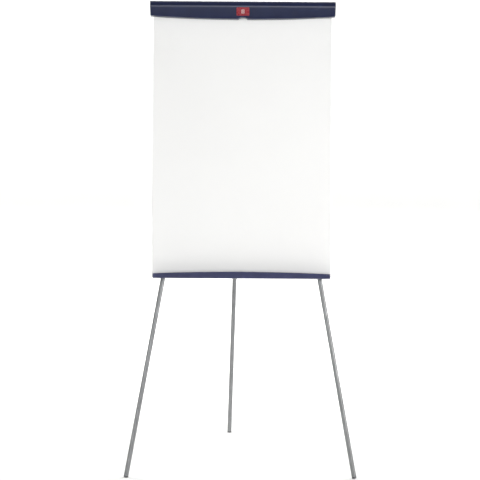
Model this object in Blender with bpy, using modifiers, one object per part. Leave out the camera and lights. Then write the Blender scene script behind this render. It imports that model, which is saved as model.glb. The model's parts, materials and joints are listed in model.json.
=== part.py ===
"""Telescopic tripod flipchart easel: writing board, sprung clamp bar, pen tray and three folding legs.

Metres, +Z up, front towards -Y. The board and both front legs are laid out in a leaning frame whose
Z runs up the slope from the floor and whose Y = 0 plane holds the front legs' axes.
"""

from math import acos, atan2, cos, hypot, pi, radians, sin, tan

import bmesh
import bpy
from mathutils import Matrix, Vector

# Overall sizes
LEAN = radians(8.5)
BOARD_WIDTH = 0.680
BOARD_HEIGHT = 1.040
BOARD_THICKNESS = 0.018
TRAY_HEIGHT = 0.7562  # tray's underside above the floor, along the slope
PIVOT_HALF_SPREAD = 0.1273
LEG_INSET = 0.0603  # from the board's side to a front leg's axis, at the guide rail
REAR_ANGLE = radians(15.4)  # rear leg from the vertical
REAR_SWAY = radians(1.45)  # the rear leg stands at one end of its sideways play

# Sheet, gaps and clearances
GAP = 0.0003
FACE_SHEET = 0.0006
BACK_SHEET = 0.0005
BOARD_EDGE = 0.0025  # radius of the face sheet's folded edges
RAIL_SHEET = 0.0015
SIDE_PLAY = 0.0007

# Tubes and leg fittings
OUTER_RADIUS = 0.011
OUTER_WALL = 0.001
SLIDE_CLEARANCE = 0.001
INNER_WALL = 0.0012
INNER_OVERLAP = 0.195  # of the front legs' tubes, above the collar's lower rim
COLLAR_WALL = 0.0032
COLLAR_LENGTH = 0.055
COLLAR_SOCKET = 0.032  # depth of the outer tube in the collar
COLLAR_ABOVE_TRAY = 0.019
HEAD_SIDE_WALL = 0.0027
HEAD_FRONT_WALL = 0.0037
HEAD_ABOVE = 0.017
HEAD_BELOW = 0.033
HEAD_SOCKET = 0.0085
RIVET_RADIUS = 0.003
FOOT_CAP = 0.005
FOOT_EDGE = 0.0012
FOOT_SPIGOT = 0.014
BUSH_LENGTH = 0.020
BUSH_RIM = 0.004

# Thumb screws
KNOB_RADIUS = 0.0125
KNOB_HEIGHT = 0.013
KNOB_LOBES = 6
BOSS_HEIGHT = 0.005
BOSS_RADIUS = 0.0075
SCREW_RADIUS = 0.003
KNOB_ABOVE_RIM = 0.010

# Pan-head screws
SCREW_SHANK = 0.002  # radius

# Head rail and rear hinge
PIVOT_BELOW_TOP = 0.084
RAIL_BEYOND_PIVOT = 0.027
RAIL_BELOW_PIVOT = 0.022
RAIL_FLANGE = 0.020
EAR_HALF_GAP = 0.0172
EAR_THICKNESS = 0.0025
EAR_RADIUS = 0.012
STOP_LAP = 0.003  # how far the stop reaches past the opened yoke's shoulder
STOP_SHEET = 0.0025
HINGE_BEHIND_RAIL = 0.0268
HINGE_RADIUS = 0.003
YOKE_KNUCKLE = 0.0085
YOKE_WEB = 0.004
YOKE_CHEEK = 0.002
YOKE_BELOW_RIVET = 0.009

# Guide rail behind the outer tubes
GUIDE_ABOVE_TRAY = 0.106
GUIDE_WIDTH = 0.025
GUIDE_SHEET = 0.002
GUIDE_CLEARANCE = 0.001
GUIDE_FOOT = 0.022

# Clamp bar
CLAMP_OVERHANG = 0.0145  # beyond each side of the board
CLAMP_TOP_ABOVE_BOARD = 0.0165
CLAMP_DROP = 0.0725  # from top edge to bottom edge at the middle
CLAMP_SAG = 0.0108  # how far the bottom edge rises towards the ends
CLAMP_DEPTH = 0.030  # in front of the board
CLAMP_WALL = 0.002
CLAMP_ROD_RADIUS = 0.0025
CLAMP_ROLL = 0.009  # outer radius round the hinge rod
CLAMP_END = 0.0025
CLAMP_LIP = 0.0035  # from the board's face to the bar's bottom flange
SHOULDER_DROP = 0.0285  # where the flat front begins
NOTCH_CHORD = 0.0355
NOTCH_RISE = 0.0070
STRIP_ABOVE_NOTCH = 0.003
BADGE_WIDTH = 0.049
BADGE_HEIGHT = 0.0318
BADGE_THICKNESS = 0.0012
BADGE_ABOVE_EDGE = 0.0117
BRACKET_WIDTH = 0.020
BRACKET_INSET = 0.036  # from the board's side
KNUCKLE_RADIUS = 0.0042
SPRING_WIRE = 0.0006
SPRING_RADIUS = 0.0037
SPRING_TURNS = 4
SPRING_REACH = 0.5  # how far its front leg goes, of the bar's depth

# Pad hooks
HOOK_INSET = 0.110  # from the board's side
HOOK_TRAVEL = 0.050
HOOK_BELOW_TOP = 0.024
HOOK_PEG_RADIUS = 0.003
HOOK_PEG_LENGTH = 0.013
HOOK_WASHER_RADIUS = 0.008
HOOK_WASHER = 0.002
SLOT_CLEARANCE = 0.0003
HOOK_NUT_RADIUS = 0.011
HOOK_NUT_HEIGHT = 0.009

# Pen tray
TRAY_INSET = 0.0055  # from the board's side
TRAY_DEPTH = 0.050
TRAY_WALL = 0.002
TRAY_LIP_MIDDLE = 0.0242
TRAY_LIP_END = 0.0168
TRAY_CORNER = 0.005
TRAY_FLANGE = 0.035
TRAY_END = 0.002
TRAY_SCREW_INSET = 0.0135  # from the tray's end

STEPS = 20
FINE_STEPS = 12

# Sizes that follow from the ones above
INNER_RADIUS = OUTER_RADIUS - OUTER_WALL - SLIDE_CLEARANCE
COLLAR_RADIUS = OUTER_RADIUS + GAP + COLLAR_WALL
BOSS_REACH = COLLAR_RADIUS + BOSS_HEIGHT  # from the tube's axis
HEAD_HALF_WIDTH = OUTER_RADIUS + GAP + HEAD_SIDE_WALL
HEAD_HALF_DEPTH = OUTER_RADIUS + GAP + HEAD_FRONT_WALL
HEAD_SWEEP = hypot(HEAD_ABOVE, HEAD_HALF_WIDTH) + SIDE_PLAY  # room that a turning head needs
RAIL_FRONT = -(HEAD_HALF_DEPTH + SIDE_PLAY + RAIL_SHEET)
RAIL_ABOVE_PIVOT = HEAD_SWEEP + RAIL_SHEET
YOKE_HALF_WIDTH = EAR_HALF_GAP - SIDE_PLAY
YOKE_SHOULDER = YOKE_KNUCKLE - 0.0015
YOKE_HALF_DEPTH = HEAD_HALF_DEPTH + SIDE_PLAY + YOKE_CHEEK
SWAY_BELOW_HINGE = YOKE_SHOULDER + YOKE_WEB + HEAD_SWEEP
CLAMP_WIDTH = BOARD_WIDTH + 2 * CLAMP_OVERHANG
TRAY_WIDTH = BOARD_WIDTH - 2 * TRAY_INSET

# Places that follow from the sizes, in the leaning frame
BOARD_BACK = -COLLAR_RADIUS - SIDE_PLAY - TRAY_WALL - GAP
BOARD_FRONT = BOARD_BACK - BOARD_THICKNESS
BOARD_BOTTOM = TRAY_HEIGHT + TRAY_WALL + GAP
BOARD_TOP = BOARD_BOTTOM + BOARD_HEIGHT
PIVOT_Z = BOARD_TOP - PIVOT_BELOW_TOP
HINGE_Y = -RAIL_FRONT + HINGE_BEHIND_RAIL
GUIDE_Z = TRAY_HEIGHT + GUIDE_ABOVE_TRAY
LEG_X_AT_GUIDE = BOARD_WIDTH / 2 - LEG_INSET
SPLAY = atan2(LEG_X_AT_GUIDE - PIVOT_HALF_SPREAD, PIVOT_Z - GUIDE_Z)
COLLAR_END = (PIVOT_Z - TRAY_HEIGHT - COLLAR_ABOVE_TRAY) / cos(SPLAY)
CLAMP_TOP = BOARD_TOP + CLAMP_TOP_ABOVE_BOARD
ROD_Y = (BOARD_FRONT + BOARD_BACK) / 2
ROD_Z = CLAMP_TOP - CLAMP_ROLL
HOOK_X = BOARD_WIDTH / 2 - HOOK_INSET
HOOK_Z = BOARD_TOP - HOOK_BELOW_TOP
BRACKET_X = BOARD_WIDTH / 2 - BRACKET_INSET

MATERIALS = {
    "white_enamel": ((0.90, 0.91, 0.90), 0.28, 0.0),
    "fibre_core": ((0.45, 0.34, 0.22), 0.85, 0.0),
    "galvanised_sheet": ((0.55, 0.57, 0.58), 0.45, 0.8),
    "navy_plastic": ((0.030, 0.037, 0.082), 0.38, 0.0),
    "navy_tray_plastic": ((0.055, 0.058, 0.110), 0.42, 0.0),
    "red_badge": ((0.42, 0.035, 0.055), 0.35, 0.0),
    "silver_tube": ((0.36, 0.37, 0.37), 0.38, 0.6),
    "bright_steel": ((0.62, 0.62, 0.62), 0.25, 1.0),
    "black_plastic": ((0.020, 0.020, 0.022), 0.50, 0.0),
    "grey_foot_plastic": ((0.090, 0.092, 0.095), 0.60, 0.0),
    "grip_rubber": ((0.030, 0.030, 0.030), 0.75, 0.0),
}


def clear_scene():
    for obj in list(bpy.data.objects):
        bpy.data.objects.remove(obj, do_unlink=True)


def new_collection(name, visible):
    collection = bpy.data.collections.new(name)
    bpy.context.scene.collection.children.link(collection)
    collection.hide_render = not visible
    return collection


clear_scene()
EASEL = new_collection("flipchart_easel", True)
CUTTERS = new_collection("cutters", False)


def material(name):
    found = bpy.data.materials.get(name)
    if found:
        return found
    colour, roughness, metallic = MATERIALS[name]
    made = bpy.data.materials.new(name)
    made.use_nodes = True
    made.diffuse_color = (*colour, 1.0)
    shader = made.node_tree.nodes["Principled BSDF"]
    shader.inputs["Base Color"].default_value = (*colour, 1.0)
    shader.inputs["Roughness"].default_value = roughness
    shader.inputs["Metallic"].default_value = metallic
    return made


def empty(name, parent=None, location=(0, 0, 0), rotation=(0, 0, 0)):
    """A frame that sub-parts hang on, such as a joint's axis."""
    made = bpy.data.objects.new(name, None)
    made.empty_display_size = 0.02
    made.parent = parent
    made.location = location
    made.rotation_euler = rotation
    EASEL.objects.link(made)
    return made


def place(obj, parent, location=(0, 0, 0), rotation=(0, 0, 0), finish=None):
    """Put a piece under its parent frame. A piece with no finish is a cutter."""
    obj.parent = parent
    obj.location = location
    obj.rotation_euler = rotation
    if finish:
        obj.data.materials.append(material(finish))
        EASEL.objects.link(obj)
    else:
        obj.hide_render = True
        obj.display_type = "WIRE"
        CUTTERS.objects.link(obj)
    return obj


def smooth(mesh, angle=radians(35)):
    mesh.shade_smooth()
    mesh.set_sharp_from_angle(angle=angle)


def mesh_object(name, bm):
    mesh = bpy.data.meshes.new(name)
    bm.to_mesh(mesh)
    bm.free()
    smooth(mesh)
    return bpy.data.objects.new(name, mesh)


def box(name, low, high):
    """A box between two corners, in its parent's frame."""
    bm = bmesh.new()
    bmesh.ops.create_cube(bm, size=1)
    size = Vector(high) - Vector(low)
    middle = (Vector(high) + Vector(low)) / 2
    bmesh.ops.scale(bm, vec=size, verts=bm.verts)
    bmesh.ops.translate(bm, vec=middle, verts=bm.verts)
    return mesh_object(name, bm)


def cylinders(name, radius, start, end, centres=((0, 0),), axis="Z", steps=STEPS):
    """Round bars from start to end along an axis, one for each centre across it."""
    bm = bmesh.new()
    for across, up in centres:
        made = bmesh.ops.create_cone(
            bm, cap_ends=True, segments=steps, radius1=radius, radius2=radius, depth=end - start
        )
        shift = Vector((across, up, (start + end) / 2))
        bmesh.ops.translate(bm, vec=shift, verts=made["verts"])
    turn = {
        "X": Matrix(((0, 0, 1), (1, 0, 0), (0, 1, 0))),
        "Y": Matrix(((0, 1, 0), (0, 0, 1), (1, 0, 0))),
        "Z": Matrix.Identity(3),
    }[axis]
    bmesh.ops.transform(bm, matrix=turn.to_4x4(), verts=bm.verts)
    return mesh_object(name, bm)


def turned(name, profile, ring=False, steps=STEPS):
    """A turned piece about Z. The (radius, height) profile runs down its outer side."""
    mesh = bpy.data.meshes.new(name)
    edges = [(i, i + 1) for i in range(len(profile) - 1)]
    if ring:
        edges.append((len(profile) - 1, 0))
    mesh.from_pydata([(r, 0, z) for r, z in profile], edges, [])
    made = bpy.data.objects.new(name, mesh)
    screw = made.modifiers.new("turn", "SCREW")
    screw.axis = "Z"
    screw.steps = steps
    screw.render_steps = steps
    screw.use_merge_vertices = True
    screw.merge_threshold = 0.00001
    screw.use_smooth_shade = True
    return made


def plate(name, outline, thickness, holes=()):
    """A flat piece from a closed outline in XY, with round holes, centred on Z = 0."""
    curve = bpy.data.curves.new(name, "CURVE")
    curve.dimensions = "2D"
    curve.fill_mode = "BOTH"
    curve.extrude = thickness / 2
    rings = [outline]
    for centre, radius in holes:
        rings.append(arc(centre, radius, 0, 2 * pi, STEPS)[:-1])
    for ring in rings:
        spline = curve.splines.new("POLY")
        spline.points.add(len(ring) - 1)
        for point, (x, y) in zip(spline.points, ring):
            point.co = (x, y, 0, 1)
        spline.use_cyclic_u = True
    return as_mesh(bpy.data.objects.new(name, curve))


def as_mesh(curve_object):
    """The mesh of a curve object with its caps welded, so that it takes modifiers."""
    bpy.context.scene.collection.objects.link(curve_object)
    graph = bpy.context.evaluated_depsgraph_get()
    mesh = bpy.data.meshes.new_from_object(curve_object.evaluated_get(graph))
    bm = bmesh.new()
    bm.from_mesh(mesh)
    bmesh.ops.remove_doubles(bm, verts=bm.verts, dist=0.000005)
    bm.to_mesh(mesh)
    bm.free()
    smooth(mesh)
    made = bpy.data.objects.new(curve_object.name, mesh)
    made.matrix_world = curve_object.matrix_world
    name = curve_object.name
    bpy.data.objects.remove(curve_object, do_unlink=True)
    made.name = name
    return made


def arc(centre, radius, start, end, steps):
    """Points on an arc, first and last included."""
    return [
        (centre[0] + radius * cos(start + (end - start) * i / steps),
         centre[1] + radius * sin(start + (end - start) * i / steps))
        for i in range(steps + 1)
    ]


def bezier(a, b, c, d, steps):
    """Points on a cubic curve from a to d, the first left out."""
    found = []
    for i in range(1, steps + 1):
        t = i / steps
        u = 1 - t
        weights = (u**3, 3 * u * u * t, 3 * u * t * t, t**3)
        found.append(tuple(sum(w * p[k] for w, p in zip(weights, (a, b, c, d))) for k in (0, 1)))
    return found


def lofted(name, stations, section_at, thickness=0):
    """A skin through the (y, z) section at each x. With a thickness it is an open shell, grown inwards."""
    bm = bmesh.new()
    rows = [[bm.verts.new((x, y, z)) for y, z in section_at(x)] for x in stations]
    count = len(rows[0])
    last = count - 1 if thickness else count
    for near, far in zip(rows, rows[1:]):
        for i in range(last):
            j = (i + 1) % count
            bm.faces.new((near[i], near[j], far[j], far[i]))
    if not thickness:
        bm.faces.new(rows[0][::-1])
        bm.faces.new(rows[-1])
    made = mesh_object(name, bm)
    if thickness:
        shell = made.modifiers.new("wall", "SOLIDIFY")
        shell.thickness = thickness
        shell.offset = -1
        shell.use_even_offset = True
    return made


def stations_across(width, count):
    return [width * (i / count - 0.5) for i in range(count + 1)]


def join_or_cut(obj, other, operation):
    change = obj.modifiers.new(other.name, "BOOLEAN")
    change.operation = operation
    change.solver = "EXACT"
    change.object = other


def rounded(obj, width, segments=2):
    edge = obj.modifiers.new("edges", "BEVEL")
    edge.width = width
    edge.segments = segments
    edge.limit_method = "ANGLE"
    edge.angle_limit = radians(40)


def helper(obj, parent, location=(0, 0, 0), rotation=(0, 0, 0)):
    """A piece used only to cut or to join."""
    return place(obj, parent, location, rotation)


# Plates drawn as (y, z) outlines stand on edge, with their thickness along X
UPRIGHT = (pi / 2, 0, pi / 2)


# Writing board

def slot_cutter(name, frame, side):
    half_length = HOOK_TRAVEL + HOOK_PEG_RADIUS + SLOT_CLEARANCE
    half_height = HOOK_PEG_RADIUS + SLOT_CLEARANCE
    ends = half_length - half_height
    outline = arc((ends, 0), half_height, -pi / 2, pi / 2, 8) + arc((-ends, 0), half_height, pi / 2, 3 * pi / 2, 8)
    slot = plate(name, outline, 4 * BOARD_THICKNESS)
    return helper(slot, frame, (side * HOOK_X, ROD_Y, HOOK_Z), (pi / 2, 0, 0))


def make_face_sheet(frame, slots):
    """A pressed pan: the writing face with its edges folded back round the core."""
    half = BOARD_WIDTH / 2
    behind = BOARD_BACK + 2 * BOARD_EDGE
    pan = box("face_sheet", (-half, BOARD_FRONT, BOARD_BOTTOM), (half, behind, BOARD_TOP))
    rounded(pan, BOARD_EDGE, 3)
    place(pan, frame, finish="white_enamel")
    hollow = box(
        "face_sheet_hollow",
        (-half + FACE_SHEET, BOARD_FRONT + FACE_SHEET, BOARD_BOTTOM + FACE_SHEET),
        (half - FACE_SHEET, behind + 2 * BOARD_EDGE, BOARD_TOP - FACE_SHEET),
    )
    rounded(hollow, BOARD_EDGE - FACE_SHEET, 3)
    trim = box("face_sheet_trim", (-2 * half, BOARD_BACK, 0), (2 * half, behind + BOARD_EDGE, 2 * BOARD_TOP))
    for cutter in (hollow, trim):
        join_or_cut(pan, helper(cutter, frame), "DIFFERENCE")
    for slot in slots:
        join_or_cut(pan, slot, "DIFFERENCE")


def make_board_filling(frame, slots):
    """The core, and the sheet that closes the back."""
    inset = FACE_SHEET + GAP
    corner = BOARD_EDGE / 2 + GAP
    half = BOARD_WIDTH / 2
    split = BOARD_BACK - BACK_SHEET - GAP
    core = box(
        "board_core", (inset - half, BOARD_FRONT + inset, BOARD_BOTTOM + inset), (half - inset, split, BOARD_TOP - inset)
    )
    rounded(core, BOARD_EDGE - inset, 3)
    back = box(
        "back_sheet", (corner - half, split + GAP, BOARD_BOTTOM + corner), (half - corner, BOARD_BACK, BOARD_TOP - corner)
    )
    place(core, frame, finish="fibre_core")
    place(back, frame, finish="galvanised_sheet")
    for slot in slots:
        join_or_cut(core, slot, "DIFFERENCE")
        join_or_cut(back, slot, "DIFFERENCE")


# Pen tray

def bow(x, width, middle, end):
    """A height that falls from the middle to the ends of a bowed edge, along an arc."""
    return middle - (middle - end) * (2 * x / width) ** 2


def tray_section(x):
    """The tray's outer line at x: down the lip, back under the floor and up behind the board."""
    bottom = TRAY_HEIGHT
    back = BOARD_BACK + GAP + TRAY_WALL
    front = BOARD_FRONT - TRAY_DEPTH
    lip = bottom + bow(x, TRAY_WIDTH, TRAY_LIP_MIDDLE, TRAY_LIP_END)
    points = [(front, lip)]
    points += arc((front + TRAY_CORNER, bottom + TRAY_CORNER), TRAY_CORNER, pi, 3 * pi / 2, 4)
    points += [(back, bottom), (back, bottom + TRAY_FLANGE)]
    return points


def make_pen_tray(frame):
    width = TRAY_WIDTH - 2 * (TRAY_END + GAP)
    tray = lofted("pen_tray", stations_across(width, 24), tray_section, TRAY_WALL)
    place(tray, frame, finish="navy_tray_plastic")
    holes = cylinders(
        "tray_screw_holes", SCREW_SHANK + GAP, BOARD_BACK - GAP, BOARD_BACK + 2 * TRAY_WALL,
        [(z, x) for x, z in tray_screw_places()], axis="Y", steps=FINE_STEPS,
    )
    join_or_cut(tray, helper(holes, frame), "DIFFERENCE")
    for side, name in ((-1, "tray_end_left"), (1, "tray_end_right")):
        outline = tray_section(side * width / 2)[:-2]
        lip = outline[0][1]
        outline += [(BOARD_FRONT - GAP, TRAY_HEIGHT), (BOARD_FRONT - GAP, lip)]
        cap = plate(name, outline, TRAY_END)
        place(cap, frame, (side * (TRAY_WIDTH - TRAY_END) / 2, 0, 0), UPRIGHT, "navy_tray_plastic")
    for (x, z), name in zip(tray_screw_places(), ("left", "middle", "right")):
        make_screw(f"tray_screw_{name}", frame, x, BOARD_BACK + GAP + TRAY_WALL + GAP, z, SCREW_SHANK)


def tray_screw_places():
    x = TRAY_WIDTH / 2 - TRAY_SCREW_INSET
    z = TRAY_HEIGHT + TRAY_FLANGE - 0.012
    return [(-x, z), (0, z), (x, z)]


def make_screw(name, frame, x, y, z, radius):
    """A pan-head screw seen from behind. Its shank stops short of the board's back sheet."""
    head = 1.9 * radius
    shank = y - BOARD_BACK - GAP
    profile = [
        (0, 0.9 * radius), (0.45 * head, 0.8 * radius), (0.85 * head, 0.45 * radius), (head, 0),
        (radius, 0), (radius, -shank), (0, -shank),
    ]
    screw = turned(name, profile, steps=FINE_STEPS)
    place(screw, frame, (x, y, z), (-pi / 2, 0, 0), "bright_steel")


# Clamp bar

def clamp_section(x):
    """The bar's outer line at x, relative to the hinge rod: roll, shoulder, flat front, bottom flange."""
    front = BOARD_FRONT - CLAMP_DEPTH - ROD_Y
    bottom = CLAMP_ROLL - bow(x, CLAMP_WIDTH, CLAMP_DROP, CLAMP_DROP - CLAMP_SAG)
    shoulder = CLAMP_ROLL - SHOULDER_DROP
    points = arc((0, 0), CLAMP_ROLL, radians(34), pi / 2, 4)
    points += bezier(
        (0, CLAMP_ROLL), (0.56 * front, CLAMP_ROLL), (front, shoulder + 0.45 * SHOULDER_DROP), (front, shoulder), 10
    )
    points += [(front + 0.0004, shoulder - 0.5 * (shoulder - bottom - 0.004))]
    points += arc((front + 0.0048, bottom + 0.004), 0.004, pi, 3 * pi / 2, 4)
    points.append((BOARD_FRONT - CLAMP_LIP - ROD_Y, bottom))
    return points


def make_clamp_bar(frame):
    """The bar's pieces hang on the hinge rod's frame."""
    hinge = empty("clamp_hinge", frame, (0, ROD_Y, ROD_Z))
    width = CLAMP_WIDTH - 2 * (CLAMP_END + GAP)
    cover = lofted("clamp_bar_cover", stations_across(width, 16), clamp_section, CLAMP_WALL)
    place(cover, hinge, finish="navy_plastic")
    notch = helper(notch_cutter(), hinge)
    join_or_cut(cover, notch, "DIFFERENCE")
    make_grip_strip(hinge, width, notch)
    make_clamp_ends(hinge)
    make_badge(hinge)


def notch_cutter():
    """A round bite out of the middle of the bottom edge, for a finger."""
    radius = (NOTCH_CHORD**2 / 4 + NOTCH_RISE**2) / (2 * NOTCH_RISE)
    height = CLAMP_ROLL - CLAMP_DROP + NOTCH_RISE - radius
    return cylinders("finger_notch", radius, -2 * CLAMP_DEPTH, CLAMP_DEPTH, [(height, 0)], axis="Y", steps=96)


def make_grip_strip(hinge, width, notch):
    """A rubber strip under the bar's bottom edge, which presses the paper."""
    near = BOARD_FRONT - GAP - ROD_Y
    far = BOARD_FRONT - CLAMP_LIP + GAP - ROD_Y

    def section(x):
        bottom = clamp_section(x)[-1][1]
        top = bottom + NOTCH_RISE + STRIP_ABOVE_NOTCH
        return [(near, bottom), (near, top), (far, top), (far, bottom)]

    strip = lofted("grip_strip", stations_across(width - 2 * CLAMP_END, 16), section)
    place(strip, hinge, finish="grip_rubber")
    join_or_cut(strip, notch, "DIFFERENCE")


def make_clamp_ends(hinge):
    """Moulded ends, bored for the hinge rod, standing just outside the board's sides."""
    for side, name in ((-1, "clamp_bar_end_left"), (1, "clamp_bar_end_right")):
        section = clamp_section(side * CLAMP_WIDTH / 2)
        outline = section + [(CLAMP_ROLL * cos(radians(34)), -0.6 * CLAMP_ROLL)]
        end = plate(name, outline, CLAMP_END, [((0, 0), CLAMP_ROD_RADIUS + GAP)])
        place(end, hinge, (side * (CLAMP_WIDTH - CLAMP_END) / 2, 0, 0), UPRIGHT, "navy_plastic")


def make_badge(hinge):
    """A plain raised plate in the middle of the bar's front."""
    bottom = CLAMP_ROLL - CLAMP_DROP + BADGE_ABOVE_EDGE
    front = BOARD_FRONT - CLAMP_DEPTH - ROD_Y
    half = BADGE_WIDTH / 2
    plate_box = box(
        "badge_plate", (-half, front - GAP - BADGE_THICKNESS, bottom), (half, front - GAP, bottom + BADGE_HEIGHT)
    )
    rounded(plate_box, 0.0005, 2)
    place(plate_box, hinge, finish="red_badge")


def make_hinge_brackets(frame):
    """Standing brackets that carry the clamp bar's rod on the board's top edge."""
    top = BOARD_TOP + GAP - ROD_Z
    back = BOARD_BACK + GAP - ROD_Y
    neck = 0.0027
    knuckle = arc((0, 0), KNUCKLE_RADIUS, radians(-50), radians(230), 14)
    outline = knuckle + [
        (-neck, top), (back, top), (back, -0.036), (back + TRAY_WALL, -0.036),
        (back + TRAY_WALL, top + TRAY_WALL), (neck, top + TRAY_WALL),
    ]
    for x, name in ((-BRACKET_X, "left"), (0, "middle"), (BRACKET_X, "right")):
        bracket = plate(f"clamp_bracket_{name}", outline, BRACKET_WIDTH, [((0, 0), CLAMP_ROD_RADIUS + GAP)])
        place(bracket, frame, (x, ROD_Y, ROD_Z), UPRIGHT, "bright_steel")
    length = CLAMP_WIDTH - 2 * GAP
    rod = cylinders("clamp_hinge_rod", CLAMP_ROD_RADIUS, -length / 2, length / 2, axis="X")
    rounded(rod, 0.0004, 1)
    place(rod, frame, (0, ROD_Y, ROD_Z), finish="bright_steel")


def make_clamp_spring(name, frame, side):
    """A torsion spring round the rod: one leg on the board's top, the other under the bar."""
    points = [(0, BOARD_FRONT + 0.004 - ROD_Y, BOARD_TOP + 2 * SPRING_WIRE - ROD_Z)]
    pitch = 2.6 * SPRING_WIRE
    steps = FINE_STEPS
    for i in range(SPRING_TURNS * steps + 1):
        angle = -pi / 2 - 2 * pi * i / steps
        x = side * pitch * (i / steps + 0.5)
        points.append((x, SPRING_RADIUS * cos(angle), SPRING_RADIUS * sin(angle)))
    reach = BOARD_FRONT - SPRING_REACH * CLAMP_DEPTH - ROD_Y
    points.append((side * pitch * (SPRING_TURNS + 0.8), reach, -SPRING_RADIUS))
    curve = bpy.data.curves.new(name, "CURVE")
    curve.dimensions = "3D"
    curve.bevel_depth = SPRING_WIRE
    curve.bevel_resolution = 1
    curve.use_fill_caps = True
    spline = curve.splines.new("POLY")
    spline.points.add(len(points) - 1)
    for point, (x, y, z) in zip(spline.points, points):
        point.co = (x, y, z, 1)
    spring = bpy.data.objects.new(name, curve)
    place(spring, frame, (side * (BRACKET_X - BRACKET_WIDTH), ROD_Y, ROD_Z), finish="bright_steel")


# Pad hooks

def make_pad_hook(frame, side, name):
    """A peg on a threaded stud that slides along its slot, locked by a nut behind the board."""
    axis = empty(f"pad_hook_{name}_slide", frame, (side * HOOK_X, 0, HOOK_Z))
    face = BOARD_FRONT - GAP
    washer = face - HOOK_WASHER
    tip = washer - HOOK_PEG_LENGTH
    stud_end = BOARD_BACK + HOOK_NUT_HEIGHT
    peg = HOOK_PEG_RADIUS
    # Heights run along the peg: its tip is up, the stud's end down
    profile = [
        (0, -tip), (0.6 * peg, -tip), (peg, -tip - 0.4 * peg), (peg, -washer - 0.5 * peg),
        (1.5 * peg, -washer), (HOOK_WASHER_RADIUS, -washer), (HOOK_WASHER_RADIUS, -face),
        (peg, -face), (peg, -stud_end), (0, -stud_end),
    ]
    hook = turned(f"pad_hook_{name}", profile)
    place(hook, axis, rotation=(pi / 2, 0, 0), finish="bright_steel")
    nut_face = BOARD_BACK + GAP
    nut = lobed_grip(f"hook_nut_{name}", axis, HOOK_NUT_RADIUS, HOOK_NUT_HEIGHT + 0.003)
    bore = cylinders(f"hook_nut_{name}_bore", peg + GAP, -GAP, HOOK_NUT_HEIGHT + GAP)
    join_or_cut(nut, helper(bore, axis, (0, nut_face, 0), (-pi / 2, 0, 0)), "DIFFERENCE")
    place(nut, axis, (0, nut_face, 0), (-pi / 2, 0, 0), "black_plastic")


def lobed_grip(name, frame, radius, height):
    """A round grip standing on Z = 0, with finger flutes round its rim. Not yet placed."""
    grip = turned(
        name,
        [(0, height), (0.8 * radius, height), (radius, height - 0.15 * radius), (radius, 0.2 * radius),
         (0.7 * radius, 0), (0, 0)],
    )
    flute = 0.26 * radius
    centres = arc((0, 0), 1.08 * radius, 0, 2 * pi, KNOB_LOBES)[:-1]
    flutes = cylinders(f"{name}_flutes", flute, -0.01, height + 0.01, centres, steps=FINE_STEPS)
    flutes.parent = grip
    flutes.hide_render = True
    flutes.display_type = "WIRE"
    CUTTERS.objects.link(flutes)
    join_or_cut(grip, flutes, "DIFFERENCE")
    return grip


# Legs

def make_leg_head(name, frame):
    """The moulded block at a leg's top: riveted through, with the outer tube in its socket."""
    head = box(
        name, (-HEAD_HALF_WIDTH, -HEAD_HALF_DEPTH, -HEAD_BELOW), (HEAD_HALF_WIDTH, HEAD_HALF_DEPTH, HEAD_ABOVE)
    )
    rounded(head, 0.003, 3)
    place(head, frame, finish="black_plastic")
    bore = cylinders(f"{name}_bore", RIVET_RADIUS + GAP, -2 * HEAD_HALF_DEPTH, 2 * HEAD_HALF_DEPTH, axis="Y")
    socket = cylinders(f"{name}_socket", OUTER_RADIUS + GAP, -2 * HEAD_BELOW, -HEAD_SOCKET)
    join_or_cut(head, helper(bore, frame), "DIFFERENCE")
    join_or_cut(head, helper(socket, frame), "DIFFERENCE")


def make_rivet(name, frame, front, back, flush_front):
    """A rivet along Y with a domed head behind, and one in front unless that end is flush."""
    head = 2 * RIVET_RADIUS
    dome = 0.7 * RIVET_RADIUS
    profile = [(0, back + GAP + dome), (0.6 * head, back + GAP + 0.7 * dome), (head, back + GAP),
               (RIVET_RADIUS, back + GAP)]
    if flush_front:
        profile += [(RIVET_RADIUS, front), (0, front)]
    else:
        profile += [(RIVET_RADIUS, front - GAP), (head, front - GAP), (0.6 * head, front - GAP - 0.7 * dome),
                    (0, front - GAP - dome)]
    rivet = turned(name, profile)
    place(rivet, frame, rotation=(-pi / 2, 0, 0), finish="bright_steel")


def make_tube(name, frame, radius, wall, top, bottom):
    profile = [(radius, -top), (radius, -bottom), (radius - wall, -bottom), (radius - wall, -top)]
    place(turned(name, profile, ring=True), frame, finish="silver_tube")


def make_collar(name, frame, end):
    """The sleeve at the outer tube's lower end, with the boss that the thumb screw runs in."""
    top = -(end - COLLAR_LENGTH)
    chamfer = 0.002
    profile = [
        (0, top), (COLLAR_RADIUS - chamfer, top), (COLLAR_RADIUS, top - chamfer),
        (COLLAR_RADIUS, -end + chamfer), (COLLAR_RADIUS - chamfer, -end), (0, -end),
    ]
    collar = turned(name, profile)
    place(collar, frame, finish="black_plastic")
    screw_z = -(end - KNOB_ABOVE_RIM)
    boss = cylinders(f"{name}_boss", BOSS_RADIUS, INNER_RADIUS, BOSS_REACH, [(screw_z, 0)], axis="Y")
    upper = cylinders(f"{name}_socket", OUTER_RADIUS + GAP, -(end - COLLAR_LENGTH + COLLAR_SOCKET), top + 0.01)
    lower = cylinders(f"{name}_bore", INNER_RADIUS + GAP, -end - 0.01, top)
    tapped = cylinders(f"{name}_tapping", SCREW_RADIUS + GAP, 0, 2 * BOSS_REACH, [(screw_z, 0)], axis="Y")
    join_or_cut(collar, helper(boss, frame), "UNION")
    for cutter in (upper, lower, tapped):
        join_or_cut(collar, helper(cutter, frame), "DIFFERENCE")
    return screw_z


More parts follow.
